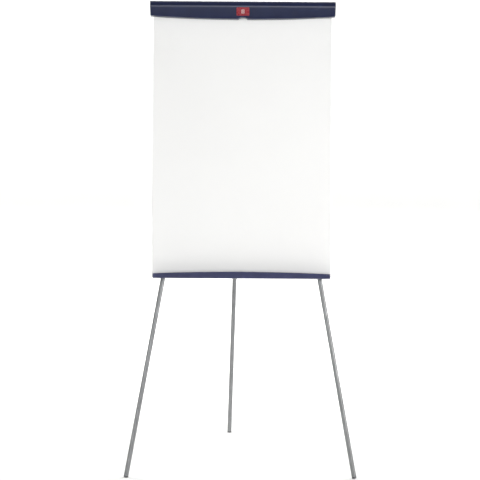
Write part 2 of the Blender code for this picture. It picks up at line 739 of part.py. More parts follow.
def make_leg_knob(name, frame, screw_z):
    """The thumb screw that locks the inner tube."""
    axis = empty(f"{name}_axis", frame, (0, 0, screw_z))
    knob = lobed_grip(name, axis, KNOB_RADIUS, KNOB_HEIGHT)
    reach = BOSS_REACH + GAP - INNER_RADIUS - GAP
    shank = cylinders(f"{name}_shank", SCREW_RADIUS, -reach, 0.3 * KNOB_HEIGHT)
    join_or_cut(knob, helper(shank, axis, (0, BOSS_REACH + GAP, 0), (-pi / 2, 0, 0)), "UNION")
    place(knob, axis, (0, BOSS_REACH + GAP, 0), (-pi / 2, 0, 0), "black_plastic")


def make_bush(name, frame, top):
    """The sliding bush plugged into the inner tube's top."""
    rim = OUTER_RADIUS - OUTER_WALL - GAP
    spigot = INNER_RADIUS - INNER_WALL - GAP
    bore = spigot - 0.0015
    profile = [
        (rim, -top + BUSH_RIM), (rim, -top + GAP), (spigot, -top + GAP),
        (spigot, -top - BUSH_LENGTH + BUSH_RIM), (bore, -top - BUSH_LENGTH + BUSH_RIM), (bore, -top + BUSH_RIM),
    ]
    place(turned(name, profile, ring=True), frame, finish="black_plastic")


def make_foot(name, frame, bottom):
    """The cap on the inner tube's lower end, as wide as the tube, with a spigot inside it."""
    seat = -(bottom - FOOT_CAP)
    spigot = INNER_RADIUS - INNER_WALL - GAP
    profile = [
        (0, seat + FOOT_SPIGOT), (spigot - 0.001, seat + FOOT_SPIGOT), (spigot, seat + FOOT_SPIGOT - 0.001),
        (spigot, seat - GAP), (INNER_RADIUS, seat - GAP), (INNER_RADIUS, -bottom + FOOT_EDGE),
        (INNER_RADIUS - FOOT_EDGE, -bottom), (0, -bottom),
    ]
    place(turned(name, profile), frame, finish="grey_foot_plastic")


def leg_reach(pivot_height, tilt):
    """From a leg's pivot to the middle of its foot's underside, with the foot's edge on the floor."""
    edge = (INNER_RADIUS - FOOT_EDGE) * sin(tilt)
    return (pivot_height - edge) / cos(tilt)


def front_leg_reach():
    return leg_reach(PIVOT_Z * cos(LEAN), acos(cos(SPLAY) * cos(LEAN)))


def make_leg(name, frame, reach):
    """Everything below a leg's rivet, hung down -Z of its pivot frame. All three inner tubes are alike."""
    tube_length = front_leg_reach() - FOOT_CAP - COLLAR_END + INNER_OVERLAP
    make_leg_head(f"{name}_head", frame)
    tube_end = COLLAR_END - COLLAR_LENGTH + COLLAR_SOCKET - GAP
    make_tube(f"{name}_outer_tube", frame, OUTER_RADIUS, OUTER_WALL, HEAD_SOCKET + GAP, tube_end)
    screw_z = make_collar(f"{name}_collar", frame, COLLAR_END)
    make_leg_knob(f"{name}_knob", frame, screw_z)
    slide = empty(f"{name}_slide", frame)
    seat = reach - FOOT_CAP
    top = seat - tube_length
    make_tube(f"{name}_inner_tube", slide, INNER_RADIUS, INNER_WALL, top, seat)
    make_bush(f"{name}_bush", slide, top)
    make_foot(f"{name}_foot", slide, reach)


def make_front_legs(frame):
    for side, name in ((-1, "left"), (1, "right")):
        pivot = empty(f"leg_{name}_pivot", frame, (side * PIVOT_HALF_SPREAD, 0, PIVOT_Z), (0, -side * SPLAY, 0))
        make_leg(f"{name}_leg", pivot, front_leg_reach())
        rivet = empty(f"leg_{name}_rivet_axis", frame, (side * PIVOT_HALF_SPREAD, 0, PIVOT_Z))
        make_rivet(f"{name}_leg_rivet", rivet, RAIL_FRONT, -RAIL_FRONT, True)


# Head rail and rear leg

def make_head_rail(frame):
    """The folded channel that holds both front legs' tops, with the rear hinge's two ears."""
    front = RAIL_FRONT
    back = -front
    low = PIVOT_Z - RAIL_BELOW_PIVOT
    web = PIVOT_Z + RAIL_ABOVE_PIVOT
    flange = web + RAIL_FLANGE
    half = PIVOT_HALF_SPREAD + RAIL_BEYOND_PIVOT
    outline = [
        (front, low), (front + RAIL_SHEET, low), (front + RAIL_SHEET, web - RAIL_SHEET),
        (back - RAIL_SHEET, web - RAIL_SHEET), (back - RAIL_SHEET, low), (back, low), (back, web),
        (front + RAIL_SHEET, web), (front + RAIL_SHEET, flange), (front, flange),
    ]
    rail = plate("head_rail", outline, 2 * half)
    place(rail, frame, rotation=UPRIGHT, finish="galvanised_sheet")
    stop_y, stop_z = stop_place()
    ear = [(back - RAIL_SHEET / 2, PIVOT_Z - EAR_RADIUS)]
    ear += arc((HINGE_Y, PIVOT_Z), EAR_RADIUS, -pi / 2, radians(-10), 7)
    ear += [(stop_y, stop_z - STOP_LAP), (stop_y, stop_z + STOP_SHEET + STOP_LAP), (HINGE_Y, PIVOT_Z + EAR_RADIUS)]
    ear += [(back - RAIL_SHEET / 2, PIVOT_Z + EAR_RADIUS)]
    for side, name in ((-1, "left"), (1, "right")):
        shape = plate(f"hinge_ear_{name}", ear, EAR_THICKNESS)
        x = side * (EAR_HALF_GAP + EAR_THICKNESS / 2)
        join_or_cut(rail, helper(shape, frame, (x, 0, 0), UPRIGHT), "UNION")
    reach = EAR_HALF_GAP + EAR_THICKNESS / 2
    stop = box(
        "rear_leg_stop", (-reach, stop_y - 3 * STOP_LAP, stop_z), (reach, stop_y - GAP, stop_z + STOP_SHEET)
    )
    join_or_cut(rail, helper(stop, frame), "UNION")
    cut_head_rail(frame, rail, half)


def stop_place():
    """The rear edge and underside of the strap that the opened yoke's shoulder comes up against."""
    opened = REAR_ANGLE + LEAN
    y = YOKE_HALF_DEPTH * cos(opened) + YOKE_SHOULDER * sin(opened)
    z = YOKE_HALF_DEPTH * sin(opened) - YOKE_SHOULDER * cos(opened)
    return HINGE_Y + y + STOP_LAP, PIVOT_Z + z + GAP


def cut_head_rail(frame, rail, half):
    reach = 2 * HEAD_HALF_DEPTH
    pivots = cylinders(
        "leg_rivet_holes", RIVET_RADIUS + GAP, -reach, reach,
        [(PIVOT_Z, -PIVOT_HALF_SPREAD), (PIVOT_Z, PIVOT_HALF_SPREAD)], axis="Y",
    )
    pin = cylinders("hinge_pin_hole", HINGE_RADIUS + GAP, -half, half, [(HINGE_Y, PIVOT_Z)], axis="X")
    screw_z = rail_screw_height()
    screws = cylinders(
        "rail_screw_holes", SCREW_SHANK + GAP, -reach, 0, [(screw_z, x) for x in rail_screw_places()],
        axis="Y", steps=FINE_STEPS,
    )
    for cutter in (pivots, pin, screws):
        join_or_cut(rail, helper(cutter, frame), "DIFFERENCE")
    for i, x in enumerate(rail_screw_places()):
        make_screw(f"head_rail_screw_{i + 1}", frame, x, RAIL_FRONT + RAIL_SHEET + GAP, screw_z, SCREW_SHANK)


def rail_screw_height():
    return PIVOT_Z + RAIL_ABOVE_PIVOT + RAIL_FLANGE / 2


def rail_screw_places():
    outer = PIVOT_HALF_SPREAD + 0.010
    inner = PIVOT_HALF_SPREAD / 3
    return (-outer, -inner, inner, outer)


def make_rear_leg(frame):
    """The rear leg hangs on a yoke: the yoke folds on the hinge pin, the leg sways in the yoke."""
    fold = empty("rear_hinge", frame, (0, HINGE_Y, PIVOT_Z), (REAR_ANGLE + LEAN, 0, 0))
    make_hinge_pin(frame)
    make_yoke(fold)
    sway = empty("rear_sway", fold, (0, 0, -SWAY_BELOW_HINGE), (0, REAR_SWAY, 0))
    bolt = empty("rear_sway_rivet_axis", fold, (0, 0, -SWAY_BELOW_HINGE))
    make_rivet("rear_sway_rivet", bolt, -YOKE_HALF_DEPTH, YOKE_HALF_DEPTH, False)
    hinge_height = PIVOT_Z * cos(LEAN) - HINGE_Y * sin(LEAN)
    pivot_height = hinge_height - SWAY_BELOW_HINGE * cos(REAR_ANGLE)
    tilt = acos(cos(REAR_ANGLE) * cos(REAR_SWAY))
    make_leg("rear_leg", sway, leg_reach(pivot_height, tilt))


def make_hinge_pin(frame):
    """The rear hinge's pin, with a head at each end."""
    end = EAR_HALF_GAP + EAR_THICKNESS + GAP
    head = 1.7 * HINGE_RADIUS
    cap = 0.5 * HINGE_RADIUS
    profile = [
        (0, end + cap), (0.8 * head, end + cap), (head, end + 0.4 * cap), (head, end), (HINGE_RADIUS, end),
        (HINGE_RADIUS, -end), (head, -end), (head, -end - 0.4 * cap), (0.8 * head, -end - cap), (0, -end - cap),
    ]
    pin = turned("rear_hinge_pin", profile)
    place(pin, frame, (0, HINGE_Y, PIVOT_Z), (0, pi / 2, 0), "bright_steel")


def make_yoke(fold):
    """An upside-down U of steel below a bored knuckle."""
    outer = YOKE_HALF_DEPTH
    inner = outer - YOKE_CHEEK
    web = -YOKE_SHOULDER
    under = web - YOKE_WEB
    low = -SWAY_BELOW_HINGE - YOKE_BELOW_RIVET
    knuckle = arc((0, 0), YOKE_KNUCKLE, radians(-50), radians(230), 16)
    outline = knuckle + [
        (-outer, web), (-outer, low), (-inner, low), (-inner, under), (inner, under), (inner, low), (outer, low),
        (outer, web),
    ]
    yoke = plate("rear_yoke", outline, 2 * YOKE_HALF_WIDTH, [((0, 0), HINGE_RADIUS + GAP)])
    place(yoke, fold, rotation=UPRIGHT, finish="galvanised_sheet")
    hole = cylinders("sway_rivet_hole", RIVET_RADIUS + GAP, -2 * outer, 2 * outer, [(-SWAY_BELOW_HINGE, 0)], axis="Y")
    join_or_cut(yoke, helper(hole, fold), "DIFFERENCE")


# Guide rail

def make_guide_rail(frame):
    """A strap behind the outer tubes: it keeps them to the board, and its ends stop the splay."""
    slant = GUIDE_WIDTH / 2 * tan(SPLAY)
    side = LEG_X_AT_GUIDE + OUTER_RADIUS / cos(SPLAY) + slant + GAP
    near = OUTER_RADIUS + GUIDE_CLEARANCE
    far = near + GUIDE_SHEET
    foot = BOARD_BACK + GAP
    end = side + GUIDE_SHEET + GUIDE_FOOT
    right = [
        (side, near), (side, foot), (end, foot), (end, foot + GUIDE_SHEET),
        (side + GUIDE_SHEET, foot + GUIDE_SHEET), (side + GUIDE_SHEET, far),
    ]
    outline = right + [(-x, y) for x, y in reversed(right)]
    rail = plate("guide_rail", outline, GUIDE_WIDTH)
    place(rail, frame, (0, 0, GUIDE_Z), finish="galvanised_sheet")
    places = [side + GUIDE_SHEET + GUIDE_FOOT / 2]
    places.append(-places[0])
    holes = cylinders(
        "guide_screw_holes", SCREW_SHANK + GAP, BOARD_BACK, 0, [(GUIDE_Z, x) for x in places],
        axis="Y", steps=FINE_STEPS,
    )
    join_or_cut(rail, helper(holes, frame), "DIFFERENCE")
    for x, name in zip(places, ("right", "left")):
        make_screw(f"guide_rail_screw_{name}", frame, x, foot + GUIDE_SHEET + GAP, GUIDE_Z, SCREW_SHANK)


def rest_on_floor(root):
    """Shift the whole easel so that its box stands on Z = 0, centred on the origin."""
    bpy.context.view_layer.update()
    graph = bpy.context.evaluated_depsgraph_get()
    corners = []
    for obj in EASEL.objects:
        if obj.type == "EMPTY":
            continue
        seen = obj.evaluated_get(graph)
        mesh = seen.to_mesh()
        corners += [seen.matrix_world @ vertex.co for vertex in mesh.vertices]
        seen.to_mesh_clear()
    low = [min(corner[i] for corner in corners) for i in range(3)]
    high = [max(corner[i] for corner in corners) for i in range(3)]
    root.location = (-(low[0] + high[0]) / 2, -(low[1] + high[1]) / 2, -low[2])
    bpy.context.view_layer.update()


def main():
    root = empty("easel")
    frame = empty("leaning_frame", root, rotation=(-LEAN, 0, 0))
    slots = [slot_cutter(f"hook_slot_{name}", frame, side) for side, name in ((-1, "left"), (1, "right"))]
    make_face_sheet(frame, slots)
    make_board_filling(frame, slots)
    make_pen_tray(frame)
    make_clamp_bar(frame)
    make_hinge_brackets(frame)
    make_clamp_spring("clamp_spring_left", frame, -1)
    make_clamp_spring("clamp_spring_right", frame, 1)
    make_pad_hook(frame, -1, "left")
    make_pad_hook(frame, 1, "right")
    make_head_rail(frame)
    make_front_legs(frame)
    make_rear_leg(frame)
    make_guide_rail(frame)
    rest_on_floor(root)


main()
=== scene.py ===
# Tripod flipchart easel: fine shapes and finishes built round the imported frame.
import json
from math import cos, pi, radians, sin, sqrt

import bmesh
import bpy
from mathutils import Matrix, Vector


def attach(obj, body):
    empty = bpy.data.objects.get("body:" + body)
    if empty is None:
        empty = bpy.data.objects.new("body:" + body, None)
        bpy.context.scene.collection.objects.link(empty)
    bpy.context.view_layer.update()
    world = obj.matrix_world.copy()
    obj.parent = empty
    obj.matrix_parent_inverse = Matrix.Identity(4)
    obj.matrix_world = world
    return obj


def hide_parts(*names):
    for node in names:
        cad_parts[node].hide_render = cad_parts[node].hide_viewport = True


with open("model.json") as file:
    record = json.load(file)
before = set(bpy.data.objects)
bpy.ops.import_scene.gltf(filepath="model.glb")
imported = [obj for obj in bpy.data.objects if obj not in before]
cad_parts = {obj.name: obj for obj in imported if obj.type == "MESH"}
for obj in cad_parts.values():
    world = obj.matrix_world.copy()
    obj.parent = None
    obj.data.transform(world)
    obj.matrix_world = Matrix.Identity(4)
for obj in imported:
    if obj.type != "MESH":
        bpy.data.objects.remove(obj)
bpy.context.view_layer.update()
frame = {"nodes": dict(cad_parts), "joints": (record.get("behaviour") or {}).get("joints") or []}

joints = {joint["name"]: joint for joint in frame["joints"]}
mm = 0.001
sides = ("left", "right")
legs = ("left", "right", "rear")


# places: every piece is drawn in one of these frames, Y to the back and Z up its own slope

def frameAt(origin, back, up):
    back, up = Vector(back).normalized(), Vector(up).normalized()
    axes = Matrix((back.cross(up), back, up)).transposed()
    return Matrix.Translation(Vector(origin)) @ axes.to_4x4()


leanBack = Vector(joints["right_leg_swing"]["axis"])
leanUp = Vector((1, 0, 0)).cross(leanBack)
swayBack = -Vector(joints["rear_leg_sway"]["axis"])
boardFrame = frameAt((0, 0, 0), leanBack, leanUp)
barFrame = frameAt(joints["clamp_bar_open"]["pos_m"], leanBack, leanUp)
yokeFrame = frameAt(joints["rear_leg_fold"]["pos_m"], swayBack, Vector((1, 0, 0)).cross(swayBack))
legFrames = {
    side: frameAt(joints[side + "_leg_swing"]["pos_m"], leanBack, joints[side + "_leg_telescope"]["axis"])
    for side in sides
}
legFrames["rear"] = frameAt(joints["rear_leg_sway"]["pos_m"], swayBack, joints["rear_leg_telescope"]["axis"])


def span(node, where, keep=None):
    # lowest and highest corner of a CAD node in that frame, of the points that keep() lets through
    toLocal = where.inverted()
    points = [toLocal @ vertex.co for vertex in frame["nodes"][node].data.vertices]
    points = [point for point in points if keep is None or keep(point)]
    return [Vector([pick(point[i] for point in points) for i in range(3)]) for pick in (min, max)]


def inFrame(where, point):
    return where.inverted() @ Vector(point)


def turnedTo(where, point, direction):
    # a frame at a point whose Z looks back, front or to the right
    turn = {
        "back": Matrix.Rotation(-pi / 2, 4, "X"),
        "front": Matrix.Rotation(pi / 2, 4, "X"),
        "right": Matrix.Rotation(pi / 2, 4, "Y"),
    }[direction]
    return where @ Matrix.Translation(Vector(point)) @ turn


# outlines and meshes

def fillet(points, radius, closed=True, steps=5):
    # rounds each corner, over at most 0.45 of its shorter side
    result = []
    for i, point in enumerate(points):
        corner = Vector(point)
        size = radius[i] if isinstance(radius, (list, tuple)) else radius
        if size <= 0 or (not closed and i in (0, len(points) - 1)):
            result.append(tuple(corner))
            continue
        before = Vector(points[i - 1]) - corner
        after = Vector(points[(i + 1) % len(points)]) - corner
        reach = min(size, 0.45 * before.length, 0.45 * after.length)
        start, end = corner + before.normalized() * reach, corner + after.normalized() * reach
        for k in range(steps + 1):
            t = k / steps
            result.append(tuple(start * (1 - t) ** 2 + corner * 2 * t * (1 - t) + end * t * t))
    return result


def circle(centre, radius, steps=40, start=0.0, end=2 * pi):
    whole = abs(end - start) > 2 * pi - 1e-6
    angles = [start + (end - start) * i / steps for i in range(steps if whole else steps + 1)]
    return [(centre[0] + radius * cos(a), centre[1] + radius * sin(a)) for a in angles]


def offsetLine(points, distance):
    # the open line moved sideways, to the right of its direction for a positive distance
    moved = []
    for i, point in enumerate(points):
        before = Vector(points[max(i - 1, 0)])
        after = Vector(points[min(i + 1, len(points) - 1)])
        along = (after - before).normalized()
        moved.append((point[0] + along.y * distance, point[1] - along.x * distance))
    return moved


def plateShape(outline, low, high, holes=(), axis=0):
    # a flat piece with holes, its thickness along one axis
    order = {0: lambda a, b, c: (c, a, b), 1: lambda a, b, c: (a, c, b), 2: lambda a, b, c: (a, b, c)}[axis]
    shape = bmesh.new()
    edges = []
    for ring in (outline, *holes):
        corners = [shape.verts.new(order(a, b, low)) for a, b in ring]
        edges += [shape.edges.new((corners[i - 1], corners[i])) for i in range(len(corners))]
    bmesh.ops.triangle_fill(shape, edges=edges, use_beauty=True)
    grown = bmesh.ops.extrude_face_region(shape, geom=shape.faces[:])["geom"]
    moved = [part for part in grown if isinstance(part, bmesh.types.BMVert)]
    bmesh.ops.translate(shape, verts=moved, vec=order(0, 0, high - low))
    bmesh.ops.recalc_face_normals(shape, faces=shape.faces[:])
    return shape


def loftShape(rings):
    # a closed skin over rings of equally many points
    shape = bmesh.new()
    rows = [[shape.verts.new(point) for point in ring] for ring in rings]
    for near, far in zip(rows, rows[1:]):
        for i in range(len(near)):
            j = (i + 1) % len(near)
            shape.faces.new((near[i], near[j], far[j], far[i]))
    ends = [shape.faces.new(row) for row in (rows[0], rows[-1])]
    bmesh.ops.triangulate(shape, faces=ends, ngon_method="EAR_CLIP")
    bmesh.ops.recalc_face_normals(shape, faces=shape.faces[:])
    return shape


def turnedShape(profile, steps=64, closed=False):
    # a turned piece about Z from (radius, height) points
    shape = bmesh.new()
    rings = []
    for radius, height in profile:
        count = steps if radius > 1e-6 else 1
        rings.append([
            shape.verts.new((radius * cos(2 * pi * i / steps), radius * sin(2 * pi * i / steps), height))
            for i in range(count)
        ])
    pairs = list(zip(rings, rings[1:])) + ([(rings[-1], rings[0])] if closed else [])
    for upper, lower in pairs:
        for i in range(steps):
            j = (i + 1) % steps
            corners = [
                upper[i % len(upper)], upper[j % len(upper)], lower[j % len(lower)], lower[i % len(lower)]
            ]
            shape.faces.new(list(dict.fromkeys(corners)))
    bmesh.ops.recalc_face_normals(shape, faces=shape.faces[:])
    return shape


def lobedShape(rings, lobes, steps=96):
    # a hand grip about Z: each ring is (radius, height, depth of the finger flutes)
    rows = []
    for radius, height, flute in rings:
        row = []
        for i in range(steps):
            angle = 2 * pi * i / steps
            dip = (0.5 - 0.5 * cos(lobes * angle)) ** 2.2
            reach = radius - flute * dip
            row.append((reach * cos(angle), reach * sin(angle), height))
        rows.append(row)
    return loftShape(rows)


def toMesh(name, shape, sharpest=40):
    mesh = bpy.data.meshes.new(name)
    shape.to_mesh(mesh)
    shape.free()
    mesh.shade_smooth()
    if sharpest:
        mesh.set_sharp_from_angle(angle=radians(sharpest))
    return mesh


def carve(piece, tools, operation="DIFFERENCE"):
    # cuts or joins the tool shapes, which are drawn in the piece's own frame, and leaves a plain mesh
    for i, tool in enumerate(tools):
        blank = bpy.data.objects.new(f"tool{i}", toMesh("tool", tool, 0))
        bpy.context.scene.collection.objects.link(blank)
        blank.matrix_world = piece.matrix_world
        change = piece.modifiers.new("carve", "BOOLEAN")
        change.operation = operation
        change.solver = "EXACT"
        change.object = blank
    bpy.context.view_layer.update()
    made = bpy.data.meshes.new_from_object(piece.evaluated_get(bpy.context.evaluated_depsgraph_get()))
    for change in list(piece.modifiers):
        bpy.data.objects.remove(change.object)
        piece.modifiers.remove(change)
    piece.data = made


def addPiece(name, shape, where, body, finish, stands=(), join=(), cut=(), bevel=0.0, sharpest=40):
    # one visible piece: shaped, softened by a bevel in mm, finished, and riding on its CAD body
    piece = bpy.data.objects.new(name, toMesh(name, shape, 0 if bevel or join or cut else sharpest))
    bpy.context.scene.collection.objects.link(piece)
    piece.matrix_world = where
    if join:
        carve(piece, join, "UNION")
    if cut:
        carve(piece, cut)
    piece.data.name = name
    piece.data.materials.clear()
    piece.data.materials.append(finish)
    for face in piece.data.polygons:
        face.material_index = 0
    if bevel:
        piece.data.shade_smooth()
        edges = piece.modifiers.new("soft edges", "BEVEL")
        edges.width = bevel * mm
        edges.segments = 3
        edges.limit_method = "ANGLE"
        edges.angle_limit = radians(38)
        level = piece.modifiers.new("flat faces", "WEIGHTED_NORMAL")
        level.keep_sharp = False
    elif join or cut:
        piece.data.shade_smooth()
        piece.data.set_sharp_from_angle(angle=radians(sharpest))
    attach(piece, body)
    if stands:
        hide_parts(*stands)
    return piece


# materials

def linearColour(hexColour):
    # an sRGB hex value as the linear colour that Blender mixes with
    parts = [int(hexColour[i:i + 2], 16) / 255 for i in (1, 3, 5)]
    return [part / 12.92 if part <= 0.04045 else ((part + 0.055) / 1.055) ** 2.4 for part in parts] + [1.0]


def addNode(tree, kind, settings=None, links=None):
    node = tree.nodes.new("ShaderNode" + kind)
    for key, value in (settings or {}).items():
        if isinstance(key, str) and hasattr(node, key):
            setattr(node, key, value)
        else:
            node.inputs[key].default_value = value
    for key, source in (links or {}).items():
        tree.links.new(source, node.inputs[key])
    return node


def perMetre(sizeMm):
    # texture scale for a pattern of that size
    return 1 / (sizeMm * mm)


def newMaterial(name, recordSlot, look):
    material = bpy.data.materials.new(name)
    material.use_nodes = True
    material["recordSlot"] = recordSlot
    tree = material.node_tree
    shader = tree.nodes["Principled BSDF"]
    for socket, value in look["shader"].items():
        shader.inputs[socket].default_value = value
    return material, tree, shader, addNode(tree, "TexCoord").outputs["Object"]


def toned(tree, source, stops):
    # the colours, hex or grey, that a pattern runs through
    ramp = addNode(tree, "ValToRGB", links={"Fac": source})
    elements = ramp.color_ramp.elements
    while len(elements) < len(stops):
        elements.new(0.5)
    for element, (position, colour) in zip(elements, stops):
        element.position = position
        element.color = linearColour(colour) if isinstance(colour, str) else (colour, colour, colour, 1)
    return ramp.outputs["Color"]


def letIn(tree, shader, base, hexColour, amount):
    # a second colour shows by that amount over the first
    colour = addNode(tree, "Mix", {"data_type": "RGBA", 7: linearColour(hexColour)}, {0: amount, 6: base})
    tree.links.new(colour.outputs[2], shader.inputs["Base Color"])


def finishSurface(tree, shader, look, gloss, height, fromRange=(0.0, 1.0)):
    # roughness follows one pattern, the bump another: look["bump"] is (strength, depth in mm)
    rough = addNode(tree, "MapRange", {"From Min": fromRange[0], "From Max": fromRange[1],
                                       "To Min": look["rough"][0], "To Max": look["rough"][1]},
                    {"Value": gloss})
    tree.links.new(rough.outputs["Result"], shader.inputs["Roughness"])
    strength, depth = look["bump"]
    bump = addNode(tree, "Bump", {"Strength": strength, "Distance": depth * mm}, {"Height": height})
    tree.links.new(bump.outputs["Normal"], shader.inputs["Normal"])


print("materials")

# ABS, injection moulded in a spark-eroded mould: a satin skin with a fine even grain, cloudier where it is
# handled
abs_ = {
    "navy": {"colours": ("#0C1639", "#111D43"), "edge": "#3B4468", "patch": 70, "grain": 1.6,
             "bump": (0.6, 0.035),
             "rough": (0.29, 0.33), "shader": {"IOR": 1.54, "Specular IOR Level": 0.4}},
    "trayNavy": {"colours": ("#262A4C", "#30345A"), "edge": "#5A5D80", "patch": 60, "grain": 1.6,
                 "bump": (0.6, 0.035), "rough": (0.32, 0.44), "shader": {"IOR": 1.54}},
    "red": {"colours": ("#8C1F2C", "#9C2835"), "edge": "#B4525B", "patch": 16, "grain": 1.2,
            "bump": (0.6, 0.015),
            "rough": (0.24, 0.32), "shader": {"IOR": 1.54}},
}
# glass-filled nylon, moulded: near black, duller than ABS, its edges rubbed a little paler
nylon = {"colours": ("#1B1C1E", "#26272A"), "edge": "#4A4B4E", "patch": 9, "grain": 1.1, "bump": (0.6, 0.05),
         "rough": (0.42, 0.58), "shader": {"IOR": 1.53}}


def mouldedPlastic(name, recordSlot, look):
    material, tree, shader, place = newMaterial(name, recordSlot, look)
    cloud = addNode(tree, "TexNoise", {"Scale": perMetre(look["patch"]), "Detail": 4.0, "Roughness": 0.6},
                    {"Vector": place})
    tone = toned(tree, cloud.outputs["Fac"], [(0.3, look["colours"][0]), (0.7, look["colours"][1])])
    # handled edges show paler, where the surface turns sharply outwards
    shape = addNode(tree, "NewGeometry")
    letIn(tree, shader, tone, look["edge"], toned(tree, shape.outputs["Pointiness"],
                                                  [(0.53, 0.0), (0.62, 0.55)]))
    smear = addNode(tree, "TexNoise", {"Scale": perMetre(look["patch"] / 3), "Detail": 6.0}, {"Vector": place})
    # real grain is about 0.2 mm: drawn five times as coarse so that it shows
    grain = addNode(tree, "TexNoise", {"Scale": perMetre(look["grain"]), "Detail": 2.0}, {"Vector": place})
    finishSurface(tree, shader, look, smear.outputs["Fac"], grain.outputs["Fac"])
    return material


navyAbs = mouldedPlastic("navyMouldedAbs", "navy_plastic", abs_["navy"])
trayAbs = mouldedPlastic("navyTrayAbs", "navy_tray_plastic", abs_["trayNavy"])
redAbs = mouldedPlastic("redMouldedAbs", "red_badge", abs_["red"])
blackNylon = mouldedPlastic("blackMouldedNylon", "black_plastic", nylon)

# vitreous enamel fired on steel: hard, glossy and even, with a slow ripple and the haze that wiped ink leaves
enamel = {"colours": ("#F2F2F1", "#F3F3F2"), "haze": "#F1F1F0", "hazeMost": 0.06, "smear": 260, "ripple": 45,
          "bump": (0.12, 0.01), "rough": (0.25, 0.268),
          "shader": {"IOR": 1.52, "Coat Weight": 0.15, "Coat Roughness": 0.08}}


def firedEnamel(name, recordSlot, look):
    material, tree, shader, place = newMaterial(name, recordSlot, look)
    cloud = addNode(tree, "TexNoise", {"Scale": perMetre(look["smear"]), "Detail": 5.0, "Roughness": 0.55},
                    {"Vector": place})
    tone = toned(tree, cloud.outputs["Fac"], [(0.32, look["colours"][0]), (0.62, look["colours"][1])])
    # eraser strokes: long, thin clouds that run across the board
    strokes = addNode(tree, "Mapping", {"Scale": (1.5, 1.0, 9.0), "Rotation": (0, radians(12), 0)},
                      {"Vector": place})
    wiped = addNode(tree, "TexNoise", {"Scale": perMetre(look["smear"]), "Detail": 8.0, "Distortion": 0.6},
                    {"Vector": strokes.outputs["Vector"]})
    haze = addNode(tree, "MapRange", {"From Min": 0.5, "From Max": 0.75, "To Min": 0.0,
                                      "To Max": look["hazeMost"]},
                   {"Value": wiped.outputs["Fac"]})
    letIn(tree, shader, tone, look["haze"], haze.outputs["Result"])
    ripple = addNode(tree, "TexNoise", {"Scale": perMetre(look["ripple"]), "Detail": 1.0}, {"Vector": place})
    finishSurface(tree, shader, look, wiped.outputs["Fac"], ripple.outputs["Fac"], (0.35, 0.7))
    return material


whiteEnamel = firedEnamel("whiteFiredEnamel", "white_enamel", enamel)

# hot-dip galvanised steel: dull zinc with crystals 10 to 20 mm across, each catching the light its own way
galvanised = {"colours": ("#8C8F90", "#969A9A", "#A1A4A4"), "bloom": "#B4B7B6", "crystal": 14,
              "rough": (0.38, 0.56),
              "scuff": 45, "bump": (0.25, 0.05), "shader": {"Metallic": 0.85}}


def hotDipZinc(name, recordSlot, look):
    material, tree, shader, place = newMaterial(name, recordSlot, look)
    bent = addNode(tree, "TexNoise", {"Scale": perMetre(look["crystal"] * 0.7), "Detail": 3.0},
                   {"Vector": place})
    pushed = addNode(tree, "Mix", {"data_type": "RGBA", "blend_type": "ADD", 0: 0.006},
                     {6: place, 7: bent.outputs["Color"]})
    crystals = addNode(tree, "TexVoronoi", {"Scale": perMetre(look["crystal"]), "Randomness": 1.0},
                       {"Vector": pushed.outputs[2]})
    pick = addNode(tree, "SeparateColor", links={"Color": crystals.outputs["Color"]})
    tone = toned(tree, pick.outputs["Red"], list(zip((0.0, 0.55, 1.0), look["colours"])))
    stain = addNode(tree, "TexNoise", {"Scale": perMetre(look["scuff"]), "Detail": 7.0, "Roughness": 0.65},
                    {"Vector": place})
    dull = addNode(tree, "MapRange", {"From Min": 0.45, "From Max": 0.75, "To Min": 0.0, "To Max": 0.35},
                   {"Value": stain.outputs["Fac"]})
    letIn(tree, shader, tone, look["bloom"], dull.outputs["Result"])
    finishSurface(tree, shader, look, pick.outputs["Green"], crystals.outputs["Distance"])
    return material


zincSheet = hotDipZinc("hotDipGalvanisedSteel", "galvanised_sheet", galvanised)

# bright zinc plate on turned or stamped steel: a clean pale shine with a faint straw tint and fine tool marks
zincPlate = {"colours": ("#9A9A96", "#ACACA7"), "tint": "#A69F88", "patch": 6, "mark": 0.5, "bump": (0.3, 0.01),
             "rough": (0.2, 0.34), "shader": {"Metallic": 1.0}}
# oil-tempered spring wire: darker, blue-grey, with drawing lines along it
springWire = {"colours": ("#5F6468", "#7C8286"), "tint": "#6E6558", "patch": 4, "mark": 0.4,
              "bump": (0.3, 0.01),
              "rough": (0.25, 0.4), "shader": {"Metallic": 1.0}}


def platedSteel(name, recordSlot, look):
    material, tree, shader, place = newMaterial(name, recordSlot, look)
    cloud = addNode(tree, "TexNoise", {"Scale": perMetre(look["patch"]), "Detail": 3.0}, {"Vector": place})
    tone = toned(tree, cloud.outputs["Fac"], list(zip((0.25, 0.42, 0.75), (look["tint"], *look["colours"]))))
    tree.links.new(tone, shader.inputs["Base Color"])
    # tool marks run round the piece's own axis: squeezed along Z, twice as coarse as the real 0.2 mm
    squeezed = addNode(tree, "Mapping", {"Scale": (0.15, 0.15, 1.0)}, {"Vector": place})
    marks = addNode(tree, "TexNoise", {"Scale": perMetre(look["mark"]), "Detail": 2.0},
                    {"Vector": squeezed.outputs["Vector"]})
    finishSurface(tree, shader, look, marks.outputs["Fac"], marks.outputs["Fac"])
    return material


brightZinc = platedSteel("brightZincPlatedSteel", "bright_steel", zincPlate)
temperedWire = platedSteel("oilTemperedSpringWire", "bright_steel", springWire)

